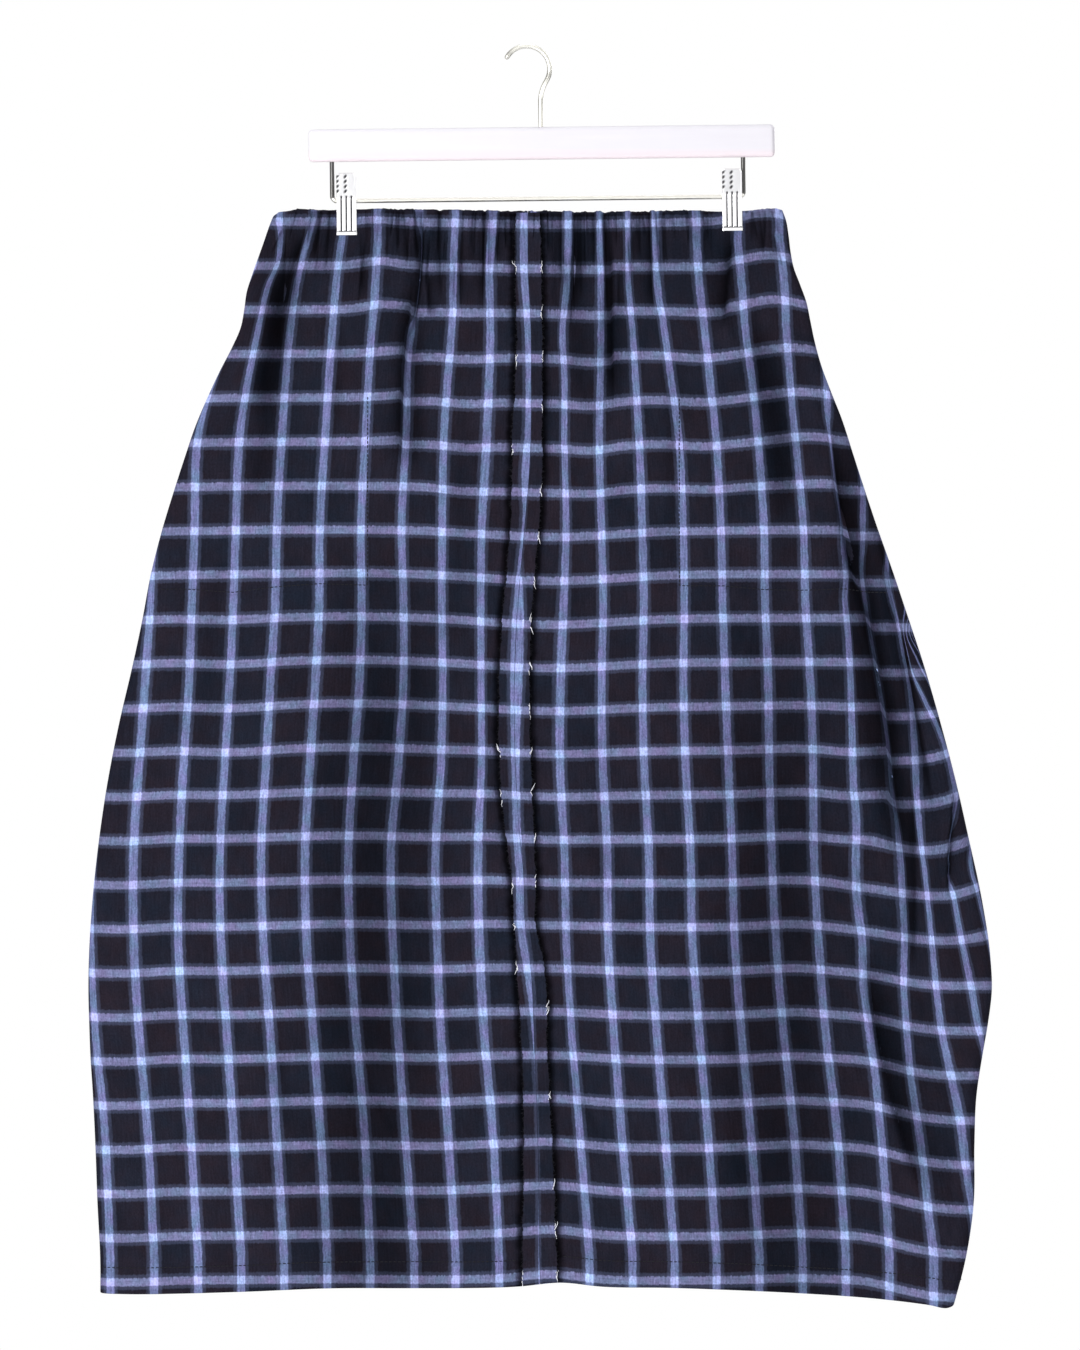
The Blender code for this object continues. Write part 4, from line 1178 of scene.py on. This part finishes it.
# Hanger, as in the part
BAR_LENGTH = .359
BAR_HEIGHT = .025
BAR_THICKNESS = .012
BAR_X = .0108
BAR_TOP = -.0606
BAR_ROUND = .0036
BAR_ROUND_STEPS = 6
HOOK_WIRE = .0038
HOOK_RADIUS = .0177
HOOK_TIP_ANGLE = math.radians(154)
HOOK_END_ANGLE = math.radians(-32)
HOOK_NECK_RADIUS = .0303
HOOK_IN_BAR = .018
HOOK_STEPS = 64
HOOK_NECK_STEPS = 14
HOOK_TIP = (.45, .85, .98)
# painted shade along the hook: a little all over, and more near the tip, down the right side and at the neck
# (place, reach, depth)
HOOK_PAINTED_SHADE = .10
HOOK_PAINTED_SHADES = ((.06, .05, .40), (.71, .07, .52), (.93, .03, .35))
ROD_WIRE = .0035
ROD_Z = -.1159
ROD_ENDS = (-.1508, .1658)
ROD_BEND = .0040
ROD_IN_BAR = .012
ROD_STEPS = 30
ROD_BEND_STEPS = 12
ROD_SHARES = (0, .3, .6, .9)
# painted shade on the rod: dark on its uprights, faint along its bottom
ROD_UPRIGHT_PAINTED_SHADE = .93
ROD_PAINTED_SHADE = .06
WIRE_SIDES = 28
CLIP_WIDTH = .0152
CLIP_PLATE = .0012
CLIP_UP = .0212
CLIP_DOWN = .0263
CLIP_FLARE = .0100
CLIP_BEND_Z = .0020
BARREL_RADIUS = .0033
BARREL_LENGTH = .0090
HANGER_LEAN = math.radians(.65)
UPRIGHT = Matrix.Rotation(HANGER_LEAN, 3, "Y")


def lean(points):
    """Points of the hanger's own frame, turned with its slight lean."""
    return np.asarray(points, dtype=float) @ np.array(UPRIGHT)


def arc(centre_x, centre_z, radius, start, end, steps):
    angles = np.linspace(start, end, steps + 1)
    return [(centre_x + radius * math.cos(a), 0, centre_z + radius * math.sin(a)) for a in angles]


def upright_line(x, start, end, shares):
    return [(x, 0, start + (end - start) * share) for share in shares]


def make_wire(name, points, radii, sides=WIRE_SIDES):
    """A round wire through points."""
    path = lean(points)
    tangent = unit(np.gradient(path, axis=0))
    second = np.zeros_like(path)
    guide = Vector((0, 1, 0) if abs(tangent[0][1]) < NEARLY_ALONG else (0, 0, 1))
    for index, along in enumerate(tangent):
        along = Vector(along)
        guide = (guide - along * guide.dot(along)).normalized()
        second[index] = guide
    return make_tubes(name, path[None], np.cross(second, tangent)[None], second[None], radii, sides)


def make_hook():
    """The wire hook, from its rounded tip over and down into the bar."""
    points = arc(0, HOOK_WIRE / 2 - HOOK_RADIUS, HOOK_RADIUS, HOOK_TIP_ANGLE, HOOK_END_ANGLE, HOOK_STEPS)
    neck_x = points[-1][0] + HOOK_NECK_RADIUS * math.cos(HOOK_END_ANGLE)
    neck_z = points[-1][2] + HOOK_NECK_RADIUS * math.sin(HOOK_END_ANGLE)
    neck_start = math.pi + HOOK_END_ANGLE
    points += arc(neck_x, neck_z, HOOK_NECK_RADIUS, neck_start, math.pi, HOOK_NECK_STEPS)[1:]
    points += upright_line(points[-1][0], points[-1][2], BAR_TOP - HOOK_IN_BAR, np.arange(1, 5) / 4)
    radii = np.full(len(points), HOOK_WIRE / 2)
    radii[:len(HOOK_TIP)] *= HOOK_TIP
    wire = make_wire("hook_wire", points, radii)
    # painted shade along the hook wire
    place = np.arange(len(points)) / len(points)
    wire_painted_shade = np.full(len(points), HOOK_PAINTED_SHADE)
    for middle, reach, depth in HOOK_PAINTED_SHADES:
        wire_painted_shade = wire_painted_shade + depth * np.exp(-((place - middle) / reach) ** 2)
    keep_shade(wire.data, "painted_shade", np.repeat(wire_painted_shade, WIRE_SIDES))
    return wire


def make_rod():
    """The wire rod under the bar, bent up into it at both ends."""
    left, right = ROD_ENDS
    top = BAR_TOP - BAR_HEIGHT + ROD_IN_BAR
    low = ROD_Z + ROD_BEND
    points = upright_line(left, top, low, ROD_SHARES)
    points += arc(left + ROD_BEND, low, ROD_BEND, math.pi, 1.5 * math.pi, ROD_BEND_STEPS)
    points += [(x, 0, ROD_Z) for x in np.linspace(left + ROD_BEND, right - ROD_BEND, ROD_STEPS)[1:-1]]
    points += arc(right - ROD_BEND, low, ROD_BEND, -.5 * math.pi, 0, ROD_BEND_STEPS)
    points += upright_line(right, top, low, ROD_SHARES[::-1])
    wire = make_wire("rod_wire", points, ROD_WIRE / 2)
    # painted shade: dark on the uprights, faint along the bottom
    upright = np.array(points)[:, 2] > ROD_Z + ROD_BEND / 2
    wire_painted_shade = np.where(upright, ROD_UPRIGHT_PAINTED_SHADE, ROD_PAINTED_SHADE)
    keep_shade(wire.data, "painted_shade", np.repeat(wire_painted_shade, WIRE_SIDES))
    return wire


def from_work(name, work):
    mesh = bpy.data.meshes.new(name)
    work.to_mesh(mesh)
    work.free()
    return mesh


def make_bar():
    """The painted bar with softly rounded arrises."""
    work = bmesh.new()
    bmesh.ops.create_cube(work, size=1)
    bmesh.ops.scale(work, vec=(BAR_LENGTH, BAR_THICKNESS, BAR_HEIGHT), verts=work.verts)
    bmesh.ops.bevel(work, geom=list(work.edges), offset=BAR_ROUND, segments=BAR_ROUND_STEPS, profile=.5,
                    affect="EDGES")
    bmesh.ops.translate(work, verts=work.verts, vec=(BAR_X, 0, BAR_TOP - BAR_HEIGHT / 2))
    bmesh.ops.transform(work, matrix=UPRIGHT.transposed().to_4x4(), verts=work.verts)
    return add_piece("bar_painted", from_work("bar_painted", work))


# Pressed detail of a jaw: ribs below, a grid of dimples on the finger end, and a lip
JAW_COLUMNS = 64
JAW_ROWS = 130
JAW_EASINGS = 6
RIB_GROOVES = (-.0039, 0, .0039)
GROOVE_HALF = .00088
GROOVE_DEPTH = .0003
GROOVE_TOP = .0048
DIMPLES = [(x, z) for x in (-.0068, -.0006) for z in (.0076, .0113, .0151, .0188)]
DIMPLE_RADIUS = .0014
DIMPLE_DEPTH = .0002
LIP_HEIGHT = .0025
LIP_Z = LIP_HEIGHT - CLIP_DOWN
LIP_ROUND = .0003
LIP_SHADE_WIDTH = .0072
LIP_SHADE_HEIGHT = .0005
LIP_SHADE_REACH = .0004
GROOVE_ENDS = (.0006, .0012)
DIMPLE_SLANT = .5
LIP_PROUD = .0008
LIP_WIDER = .0002
JAW_ROUND = .0012
JAW_ROUND_DEPTH = .0006
JAW_CORNER = .0030
JAW_NARROWER = .16


def jaw_line(side):
    """Inner face of a jaw from its lip up to its finger end, as even (y, z) with eased corners."""
    grip = side * (PINCH_HALF_DEPTH + GAP)
    waist = side * (BARREL_RADIUS + GAP)
    line = np.array([(grip, -CLIP_DOWN), (grip, -CLIP_DOWN / 2), (waist, -BARREL_RADIUS),
                     (waist, CLIP_BEND_Z), (side * CLIP_FLARE, CLIP_UP)])
    reach = path_reach(line)
    at = np.linspace(0, reach[-1], JAW_ROWS)
    even = np.stack([np.interp(at, reach, line[:, axis]) for axis in (0, 1)], axis=1)
    for _ in range(JAW_EASINGS):
        even[1:-1] = (even[:-2] + 2 * even[1:-1] + even[2:]) / 4
    return even


def jaw_relief(x, z):
    """Height of the pressed detail, and painted shade: in the grooves and dimples, and a painted shadow just
    above the lip.
    """
    low_end, high_end = GROOVE_ENDS
    on_ribs = smooth_step((z - LIP_Z) / low_end) * smooth_step((GROOVE_TOP - z) / high_end)
    groove = np.min([np.abs(x - place) for place in RIB_GROOVES], axis=0)
    groove = np.exp(-(groove / GROOVE_HALF) ** 4) * on_ribs
    away = np.min([np.hypot(x - at, z - up - (x - at) * DIMPLE_SLANT) for at, up in DIMPLES], axis=0)
    dimple = np.exp(-(away / DIMPLE_RADIUS) ** 4)
    lip = 1 - smooth_step((z - LIP_Z + LIP_ROUND) / LIP_ROUND)
    shadow_above_lip = np.exp(-((z - LIP_Z - LIP_SHADE_HEIGHT) / LIP_SHADE_REACH) ** 2)
    shadow_above_lip = shadow_above_lip * (np.abs(x) < LIP_SHADE_WIDTH)
    height = LIP_PROUD * lip - GROOVE_DEPTH * groove - DIMPLE_DEPTH * dimple
    return height, np.max([groove, dimple, shadow_above_lip], axis=0)


def make_jaw(name, place, side):
    """One pressed jaw, plain inside and with ribs, dimples and lip outside."""
    line = jaw_line(side)
    across = np.linspace(-.5, .5, JAW_COLUMNS)
    x, z = np.meshgrid(across * CLIP_WIDTH, line[:, 1])
    height, painted_shade = jaw_relief(x, z)
    corner = smooth_step((z - CLIP_UP + JAW_CORNER) / JAW_CORNER)
    wide = 1 + LIP_WIDER * 2 / CLIP_WIDTH * (z < LIP_Z) - JAW_NARROWER * corner**2
    edge = 1 - smooth_step((.5 - np.abs(across)) * CLIP_WIDTH / JAW_ROUND)
    slope = np.gradient(line, axis=0)
    out = unit(side * slope[:, ::-1] * (1, -1))
    grids = []
    for raised in (CLIP_PLATE + height - JAW_ROUND_DEPTH * edge**2, np.zeros_like(x)):
        y, up = [line[:, axis, None] + out[:, axis, None] * raised for axis in (0, 1)]
        grids.append(lean(np.stack([place + x * wide, y, ROD_Z + up], axis=-1)))
    mesh = close_grids(name, *grids, side)
    # painted shade in the grooves and dimples, and a painted shadow above the lip
    keep_shade(mesh, "painted_shade", painted_shade.ravel())
    return add_piece(name, mesh)


def close_grids(name, outer, inner, side):
    """A closed mesh between two grids of the same size."""
    top = np.arange(outer.shape[0] * outer.shape[1]).reshape(outer.shape[:2])
    faces = []
    for grid, order in ((top, 1), (top + top.size, -1)):
        corners = np.stack([grid[:-1, :-1], grid[:-1, 1:], grid[1:, 1:], grid[1:, :-1]], axis=-1)
        faces += corners.reshape(-1, 4)[:, ::order].tolist()
    rim = np.concatenate([top[0], top[1:, -1], top[-1, -2::-1], top[-2:0:-1, 0]])
    after = np.roll(rim, -1)
    faces += np.stack([after, rim, rim + top.size, after + top.size], axis=1).tolist()
    if side == BACK:
        faces = [face[::-1] for face in faces]
    return new_mesh(name, np.concatenate([outer, inner]), faces)


SPRING_TURNS = 7
SPRING_WIRE = .0011
SPRING_STEPS = 18
SPRING_SIDES = 8


def make_spring(name, place):
    """The clip's coil spring on the rod."""
    radius = BARREL_RADIUS - SPRING_WIRE / 2
    angles = np.linspace(0, FULL_TURN * SPRING_TURNS, SPRING_TURNS * SPRING_STEPS + 1)
    along = place + (BARREL_LENGTH - SPRING_WIRE) * (angles / angles[-1] - .5)
    points = np.stack([along, radius * np.cos(angles), ROD_Z + radius * np.sin(angles)], axis=1)
    return make_wire(name, points, SPRING_WIRE / 2, sides=SPRING_SIDES)


# Materials
def new_material(name, roughness, specular=.5, metallic=0):
    material = bpy.data.materials.new(name)
    material.use_nodes = True
    shader = material.node_tree.nodes["Principled BSDF"]
    shader.inputs["Roughness"].default_value = roughness
    shader.inputs["Specular IOR Level"].default_value = specular
    shader.inputs["Metallic"].default_value = metallic
    return material, material.node_tree, shader


def put(tree, slot, value):
    """Link a socket to another, or set it to a number or a colour."""
    if isinstance(value, bpy.types.NodeSocket):
        tree.links.new(value, slot)
    else:
        slot.default_value = (*value, 1) if slot.type == "RGBA" else value


def add_node(tree, kind, values=(), output=0, **settings):
    """A node with its settings and its inputs, in order or by name, as one of its outputs."""
    node = tree.nodes.new("ShaderNode" + kind)
    for name, value in settings.items():
        setattr(node, name, value)
    for slot, value in values.items() if isinstance(values, dict) else enumerate(values):
        put(tree, node.inputs[slot], value)
    return node.outputs[output]


def calculate(tree, operation, *values):
    return add_node(tree, "Math", values, operation=operation)


def times(tree, one, other):
    return calculate(tree, "MULTIPLY", one, other)


def scaled(tree, value, scale, start):
    return calculate(tree, "MULTIPLY_ADD", value, scale, start)


def clamped(tree, value):
    return calculate(tree, "MINIMUM", calculate(tree, "MAXIMUM", value, 0), 1)


def mix_colour(tree, factor, one, other):
    return add_node(tree, "Mix", {0: factor, 6: one, 7: other}, 2, data_type="RGBA")


def marked_share(tree, name):
    """The values that keep_shade stored under a name."""
    stored = add_node(tree, "VertexColor", layer_name=name)
    return add_node(tree, "SeparateColor", (stored,), "Red")


def stretched_noise(tree, across, along, across_scale, along_scale, detail=2):
    """Noise with its own scale in each of the cloth's two directions."""
    ways = times(tree, across, across_scale), times(tree, along, along_scale)
    place = add_node(tree, "CombineXYZ", ways)
    return add_node(tree, "TexNoise", {"Vector": place, "Scale": 1, "Detail": detail})


def place_noise(tree, scale, detail=2):
    """Noise fixed to the piece."""
    place = add_node(tree, "TexCoord", output="Object")
    return add_node(tree, "TexNoise", {"Vector": place, "Scale": scale, "Detail": detail})


def add_bump(tree, shader, height, strength, distance):
    bump = add_node(tree, "Bump", {"Strength": strength, "Distance": distance, "Height": height})
    put(tree, shader.inputs["Normal"], bump)


# The check's stripe: distance from its middle in millimetres, weight of blue and of grey thread
StripeStop = namedtuple("StripeStop", "millimetres blue grey")
STRIPE_STOPS = rows(
    StripeStop,
    (0, .94, 0), (1.6, .97, 0), (2.3, 1, 0), (2.8, .86, .1), (3.3, .28, .6), (3.6, .04, .85), (4.8, 0, 1),
    (5.4, 0, .9), (6.3, 0, 0),
)
STRIPE_SPAN = 8
MILLIMETRES = 1000
GROUND_BROWN = (.0178, .0135, .0206)
GROUND_TEAL = (.0106, .0143, .0254)
WARP_SKY = (.300, .450, .790)
WARP_VIOLET = (.400, .400, .860)
WEFT_SKY = (.330, .430, .730)
WEFT_VIOLET = (.420, .385, .750)
CROSS_SKY = (.430, .600, 1)
CROSS_VIOLET = (.520, .530, 1)
FLANK_GREY = (.228, .283, .522)
SINGLE_SHARE = .418
CROSS_SHARE = .80
FLANK_SHARE = .102

# Scales of the linen's noise across and along it, for each whole stripe, and how far each one shows
THREADS = 24
SLUB = 2.2
SPECKLES = (26.4, 19.2)
TICKS = (19.2, 7.04)
PATCHES = (2.3, 2.3)
CLOUDS = (1.3, .9)
# how dark the painted crease shade makes the colour where it is deepest
CREASE_PAINTED_SHADE = .10
SQUARE_TINT = .6
PATCH_TINT = .4
STEEP_TICKS = 2.4
STEEP_PATCHES = 3
WARP_RAGGED = .022
WEFT_RAGGED = .030
WARP_UNEVEN = (.30, .35)
WEFT_UNEVEN = (.52, .8)
SPECKLE_LIGHT = .7
STREAK_LIGHT = .30
CLOUD_LIGHT = .7
WEAVE_HEIGHT = .25
WEAVE_BUMP = .35
WEAVE_DEPTH = .0003


def stripe_weights(tree, coordinate, pitch):
    """Blue and grey weights of the stripes along one coordinate."""
    near = calculate(tree, "PINGPONG", calculate(tree, "ABSOLUTE", coordinate), .5)
    ramp = add_node(tree, "ValToRGB", (times(tree, near, pitch * MILLIMETRES / STRIPE_SPAN),))
    elements = ramp.node.color_ramp.elements
    elements[-1].position = STRIPE_STOPS[-1].millimetres / STRIPE_SPAN
    for stop in STRIPE_STOPS[1:-1]:
        elements.new(stop.millimetres / STRIPE_SPAN)
    for element, stop in zip(elements, STRIPE_STOPS):
        element.color = (stop.blue, stop.grey, 0, 1)
    blue = add_node(tree, "SeparateColor", (ramp,), "Red")
    return blue, blue.node.outputs["Green"]


def uneven(tree, weight, noises, depths):
    """A weight made uneven by noises about one."""
    for noise, depth in zip(noises, depths):
        weight = times(tree, weight, scaled(tree, noise, depth, 1 - depth / 2))
    return weight


def square_tint(tree, upright, level, patch):
    """The ground's colour, which changes from square to square and in patches."""
    cell = [calculate(tree, "FLOOR", upright), calculate(tree, "FLOOR", level)]
    noise = add_node(tree, "TexWhiteNoise", {"Vector": add_node(tree, "CombineXYZ", cell)},
                     noise_dimensions="2D")
    share = scaled(tree, noise, SQUARE_TINT, times(tree, patch, PATCH_TINT))
    return mix_colour(tree, share, GROUND_BROWN, GROUND_TEAL)


def ragged(tree, coordinate, ticks, depth):
    """A coordinate shifted to and fro by noise, so that a stripe's edges are ragged."""
    return scaled(tree, ticks, depth, calculate(tree, "ADD", coordinate, -depth / 2))


def steeper(tree, noise, slope):
    """Noise stretched about its middle and kept from 0 to 1."""
    return clamped(tree, scaled(tree, noise, slope, .5 - slope / 2))


def make_linen(name, painted_brightness=1):
    """Yarn-dyed check: two sets of stripes that mix where they cross, in plain weave, darkened by painted
    crease shade.
    """
    material, tree, shader = new_material(name, roughness=.85, specular=.02)
    upright = add_node(tree, "SeparateXYZ", (add_node(tree, "UVMap", uv_map="cloth"),))
    level = upright.node.outputs["Y"]
    cloth = (tree, upright, level)
    warp_slub = stretched_noise(*cloth, THREADS, SLUB)
    weft_slub = stretched_noise(*cloth, SLUB, THREADS)
    speckle = stretched_noise(*cloth, *SPECKLES, 1)
    ticks = steeper(tree, stretched_noise(*cloth, *TICKS), STEEP_TICKS)
    streaks = steeper(tree, warp_slub, STEEP_TICKS)
    patch = steeper(tree, stretched_noise(*cloth, *PATCHES), STEEP_PATCHES)
    warp_blue, warp_grey = stripe_weights(tree, ragged(tree, upright, ticks, WARP_RAGGED), STRIPE_PITCH)
    weft_blue, weft_grey = stripe_weights(tree, ragged(tree, level, ticks, WEFT_RAGGED), LEVEL_PITCH)
    warp_blue = uneven(tree, warp_blue, (streaks, speckle), WARP_UNEVEN)
    weft_blue = uneven(tree, weft_blue, (ticks, weft_slub), WEFT_UNEVEN)
    warp = mix_colour(tree, patch, WARP_SKY, WARP_VIOLET)
    weft = mix_colour(tree, patch, WEFT_SKY, WEFT_VIOLET)
    cross = mix_colour(tree, patch, CROSS_SKY, CROSS_VIOLET)
    colour = square_tint(*cloth, patch)
    for weight, share, thread in (
            (warp_grey, FLANK_SHARE, FLANK_GREY), (weft_grey, FLANK_SHARE, FLANK_GREY),
            (warp_blue, SINGLE_SHARE, warp), (weft_blue, SINGLE_SHARE, weft),
            (times(tree, warp_blue, weft_blue), CROSS_SHARE, cross)):
        colour = mix_colour(tree, times(tree, weight, share), colour, thread)
    # lighter copies of the check stand for painted light, darker ones for painted shade
    tone_and_painted_shade = scaled(tree, speckle, SPECKLE_LIGHT, (1 - SPECKLE_LIGHT / 2) * painted_brightness)
    tone_and_painted_shade = uneven(tree, tone_and_painted_shade, (streaks, stretched_noise(*cloth, *CLOUDS)), (STREAK_LIGHT, CLOUD_LIGHT))
    # painted shade: darken the colour by the stored crease shade
    tone_and_painted_shade = times(tree, tone_and_painted_shade, scaled(tree, marked_share(tree, "crease"), CREASE_PAINTED_SHADE - 1, 1))
    shade = add_node(tree, "VectorMath", {"Vector": colour, "Scale": tone_and_painted_shade}, operation="SCALE")
    put(tree, shader.inputs["Base Color"], shade)
    add_bump(tree, shader, weave_height(*cloth, warp_slub, weft_slub), WEAVE_BUMP, WEAVE_DEPTH)
    return material


def weave_height(tree, upright, level, warp_slub, weft_slub):
    """Plain weave as crossed waves, with thicker and thinner threads."""
    over, under = [calculate(tree, "SINE", times(tree, way, math.pi * THREADS)) for way in (upright, level)]
    slubs = calculate(tree, "ADD", warp_slub, weft_slub)
    return scaled(tree, times(tree, over, under), WEAVE_HEIGHT, slubs)


# Colours that each thread runs between
BLACK_THREAD = ((.006, .006, .009), (.016, .016, .020))
# dark fray threads, darker than the linen's own yarn: partly frayed thread, partly painted shadow beside the
# raw edges
DARK_THREAD_AND_SHADOW = ((.002, .002, .004), (.010, .010, .016))
PALE_THREAD = ((.78, .80, .92), (.96, .96, .98))
THREAD_NOISE = 900


def make_thread(name, one, other):
    material, tree, shader = new_material(name, roughness=.8, specular=.2)
    put(tree, shader.inputs["Base Color"], mix_colour(tree, place_noise(tree, THREAD_NOISE), one, other))
    return material


PAINT_GRAIN = ((.835, .815, .865), (.885, .865, .91))
# painted shade, pinker and a little darker, towards the bottom of the bar
BAR_PAINTED_SHADE = (.90, .80, .845)
BAR_PAINTED_SHADE_FADE = (-6, 2.2)
PAINT_ROUGH = (.2, .32)
PAINT_BUMP = (.12, .0002)
GRAIN_SCALE = (12, 260, 260)
GRAIN_DETAIL = 4


def make_paint():
    """Satin white paint with a faint brushed grain along the wood, and a pinker painted shade along the
    bottom of the bar.
    """
    material, tree, shader = new_material("white_paint", roughness=.45, specular=.15)
    place = add_node(tree, "TexCoord", output="Object")
    stretched = add_node(tree, "Mapping", {"Vector": place, "Scale": GRAIN_SCALE})
    grain = add_node(tree, "TexNoise", {"Vector": stretched, "Scale": 1, "Detail": GRAIN_DETAIL})
    colour = mix_colour(tree, grain, *PAINT_GRAIN)
    # painted shade towards the bottom of the bar
    height = add_node(tree, "SeparateXYZ", (place.node.outputs["Generated"],), "Z")
    colour = mix_colour(tree, clamped(tree, scaled(tree, height, *BAR_PAINTED_SHADE_FADE)), colour, BAR_PAINTED_SHADE)
    put(tree, shader.inputs["Base Color"], colour)
    put(tree, shader.inputs["Roughness"], scaled(tree, grain, *PAINT_ROUGH))
    add_bump(tree, shader, grain, *PAINT_BUMP)
    return material


CHROME_PAINTED_SHADE = (.010, .009, .014)
CHROME_PAINTED_SHADE_SHARE = .98
CHROME_SMEAR = 1.14
SMEAR_NOISE = 160
SMEAR_ROUGH = .12


def make_chrome(name, tint, roughness, marked=True):
    """Bright plating with faint smears, darkened by the painted shade that a piece stores."""
    material, tree, shader = new_material(name, roughness=.2, metallic=1)
    smear = place_noise(tree, SMEAR_NOISE, 3)
    colour = mix_colour(tree, smear, tint, tuple(min(1, CHROME_SMEAR * value) for value in tint))
    if marked:
        # painted shade: mix the plating towards near black by the stored shade
        painted_shade = times(tree, marked_share(tree, "painted_shade"), CHROME_PAINTED_SHADE_SHARE)
        colour = mix_colour(tree, painted_shade, colour, CHROME_PAINTED_SHADE)
    put(tree, shader.inputs["Base Color"], colour)
    put(tree, shader.inputs["Roughness"], scaled(tree, smear, SMEAR_ROUGH, roughness))
    return material


def finish_piece(item, material, replaces=None):
    item.data.materials.append(material)
    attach(item, "root")
    if replaces:
        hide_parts(replaces)
    return item


# The cut of each cloth piece that shows, with its turnings: its size, and the area of a shaped one
PANEL_CUTS = {"left": ((.362, .895), .272), "right": ((.378, .905), .284), "back": ((.735, .905), .560)}
# lighter and darker copies of the check: painted light on the seam allowances, painted shade on the pocket
# bags
RAW_PAINTED_LIGHT = 1.06
POCKET_PAINTED_SHADE = .9
SPRING_TINT = (.74, .74, .76)
WIRE_TINT = (.87, .86, .795)
PRESSED_TINT = (.84, .84, .85)


def dress_panel(panel, name, node, linen):
    """A front or the back, hung from the clips."""
    item = finish_piece(make_panel(name, panel), linen, node)
    return item


def dress_skirt():
    linen = make_linen("checked_linen_woven")
    raw = make_linen("raw_linen_woven", RAW_PAINTED_LIGHT)
    pocket_linen = make_linen("pocket_linen_woven", POCKET_PAINTED_SHADE)
    black = make_thread("black_thread", *BLACK_THREAD)
    dark_and_shadow = make_thread("dark_linen_thread_and_shadow", *DARK_THREAD_AND_SHADOW)
    pale = make_thread("pale_linen_thread", *PALE_THREAD)
    stitches = {panel: finish_piece(make_stitches(panel), black) for panel in PANEL_CUTS}
    for panel in SIGNS:
        front = dress_panel(panel, f"skirt_front_{panel}", f"front_{panel}", linen)
        strip = finish_piece(make_strip(panel), raw, f"seam_allowance_{panel}")
        pocket = finish_piece(make_pocket(panel), pocket_linen, f"pocket_bag_{panel}")
        fray = [finish_piece(item, thread)
                for item, thread in zip(make_fray(panel), (dark_and_shadow, pale))]
    dress_panel("back", "skirt_back", "back", linen)


def dress_hanger():
    plain = make_chrome("chrome_spring", SPRING_TINT, roughness=.12, marked=False)
    wire = make_chrome("chrome_wire", WIRE_TINT, roughness=.30)
    pressed = make_chrome("chrome_pressed", PRESSED_TINT, roughness=.28)
    finish_piece(make_bar(), make_paint(), "hanger_bar")
    finish_piece(make_hook(), wire, "hanger_hook")
    finish_piece(make_rod(), wire, "hanger_rod")
    for panel, world_x in CLIP_PLACES.items():
        place = (UPRIGHT @ Vector((world_x, 0, ROD_Z))).x
        for side, face in ((FRONT, "front"), (BACK, "back")):
            jaw = make_jaw(f"jaw_{panel}_{face}", place, side)
            finish_piece(jaw, pressed, f"clip_{panel}_{face}")
        finish_piece(make_spring(f"spring_{panel}", place), plain, f"clip_{panel}_barrel")


# Stage, light and camera
FLOOR_Z = -1.75
FLOOR_RADIUS = 3.4
FRAME_HEIGHT = 1.0395
VIEW_X = .0104
VIEW_Z = -.4824
VIEW_DISTANCE = 10
VIEW_END = 50
SENSOR = 36
SKY = ((.245, .245, .255), (.42, .42, .44))
GLOSS = ((.50, .49, .47), (1, 1, 1))
FLOOR_GREYS = ((.86, .86, .86), (.90, .90, .90))
FLOOR_NOISE = 3
FLOOR_SIDES = 96


def make_floor():
    work = bmesh.new()
    bmesh.ops.create_circle(work, cap_ends=True, segments=FLOOR_SIDES, radius=FLOOR_RADIUS)
    bmesh.ops.translate(work, verts=work.verts, vec=(0, 0, FLOOR_Z))
    floor = add_object("floor", from_work("floor", work))
    material, tree, shader = new_material("floor_pale", roughness=.7)
    put(tree, shader.inputs["Base Color"], mix_colour(tree, place_noise(tree, FLOOR_NOISE), *FLOOR_GREYS))
    floor.data.materials.append(material)


def make_world():
    """White to the camera, a soft light from above, and bright surroundings in gloss."""
    world = bpy.data.worlds.new("studio")
    bpy.context.scene.world = world
    world.use_nodes = True
    tree = world.node_tree
    tree.nodes.clear()
    output = tree.nodes.new("ShaderNodeOutputWorld")
    ways = add_node(tree, "SeparateXYZ", (add_node(tree, "TexCoord", output="Generated"),)).node.outputs
    height = scaled(tree, ways["Z"], .5, .5)
    ahead = scaled(tree, ways["Y"], -.5, .5)
    rays = add_node(tree, "LightPath").node.outputs
    result = add_node(tree, "Background", (mix_colour(tree, height, *SKY),))
    glossy = mix_colour(tree, ahead, *GLOSS)
    for ray, colour in (("Is Glossy Ray", glossy), ("Is Camera Ray", (1, 1, 1))):
        shader = add_node(tree, "Background", (colour,))
        result = add_node(tree, "MixShader", (rays[ray], result, shader))
    put(tree, output.inputs["Surface"], result)


Lamp = namedtuple("Lamp", "name place size watts")
LAMPS = rows(
    Lamp,
    ("key", (-1.8, -2.6, -.3), 1.2, 73),
    ("fill", (2.6, -2.2, -.9), 1.6, 21),
    ("top", (0, .2, 1.4), .8, 9),
    ("back_key", (1.8, 2.6, .8), 1.8, 45),
)
AIM = Vector((0, 0, -.5))


def make_lights():
    for lamp in LAMPS:
        data = bpy.data.lights.new(lamp.name, "AREA")
        data.energy = lamp.watts
        data.size = lamp.size
        item = add_object(lamp.name, data)
        item.location = lamp.place
        item.rotation_euler = (AIM - Vector(lamp.place)).to_track_quat("-Z", "Y").to_euler()


def make_camera():
    data = bpy.data.cameras.new("camera")
    data.sensor_width = SENSOR
    data.lens = SENSOR * VIEW_DISTANCE / FRAME_HEIGHT
    data.clip_end = VIEW_END
    item = add_object("camera", data)
    item.location = (VIEW_X, -VIEW_DISTANCE, VIEW_Z)
    item.rotation_euler = (math.pi / 2, 0, 0)
    bpy.context.scene.camera = item


def main():
    dress_skirt()
    dress_hanger()
    make_floor()
    make_world()
    make_lights()
    make_camera()
    bpy.context.scene.view_settings.view_transform = "Standard"


main()
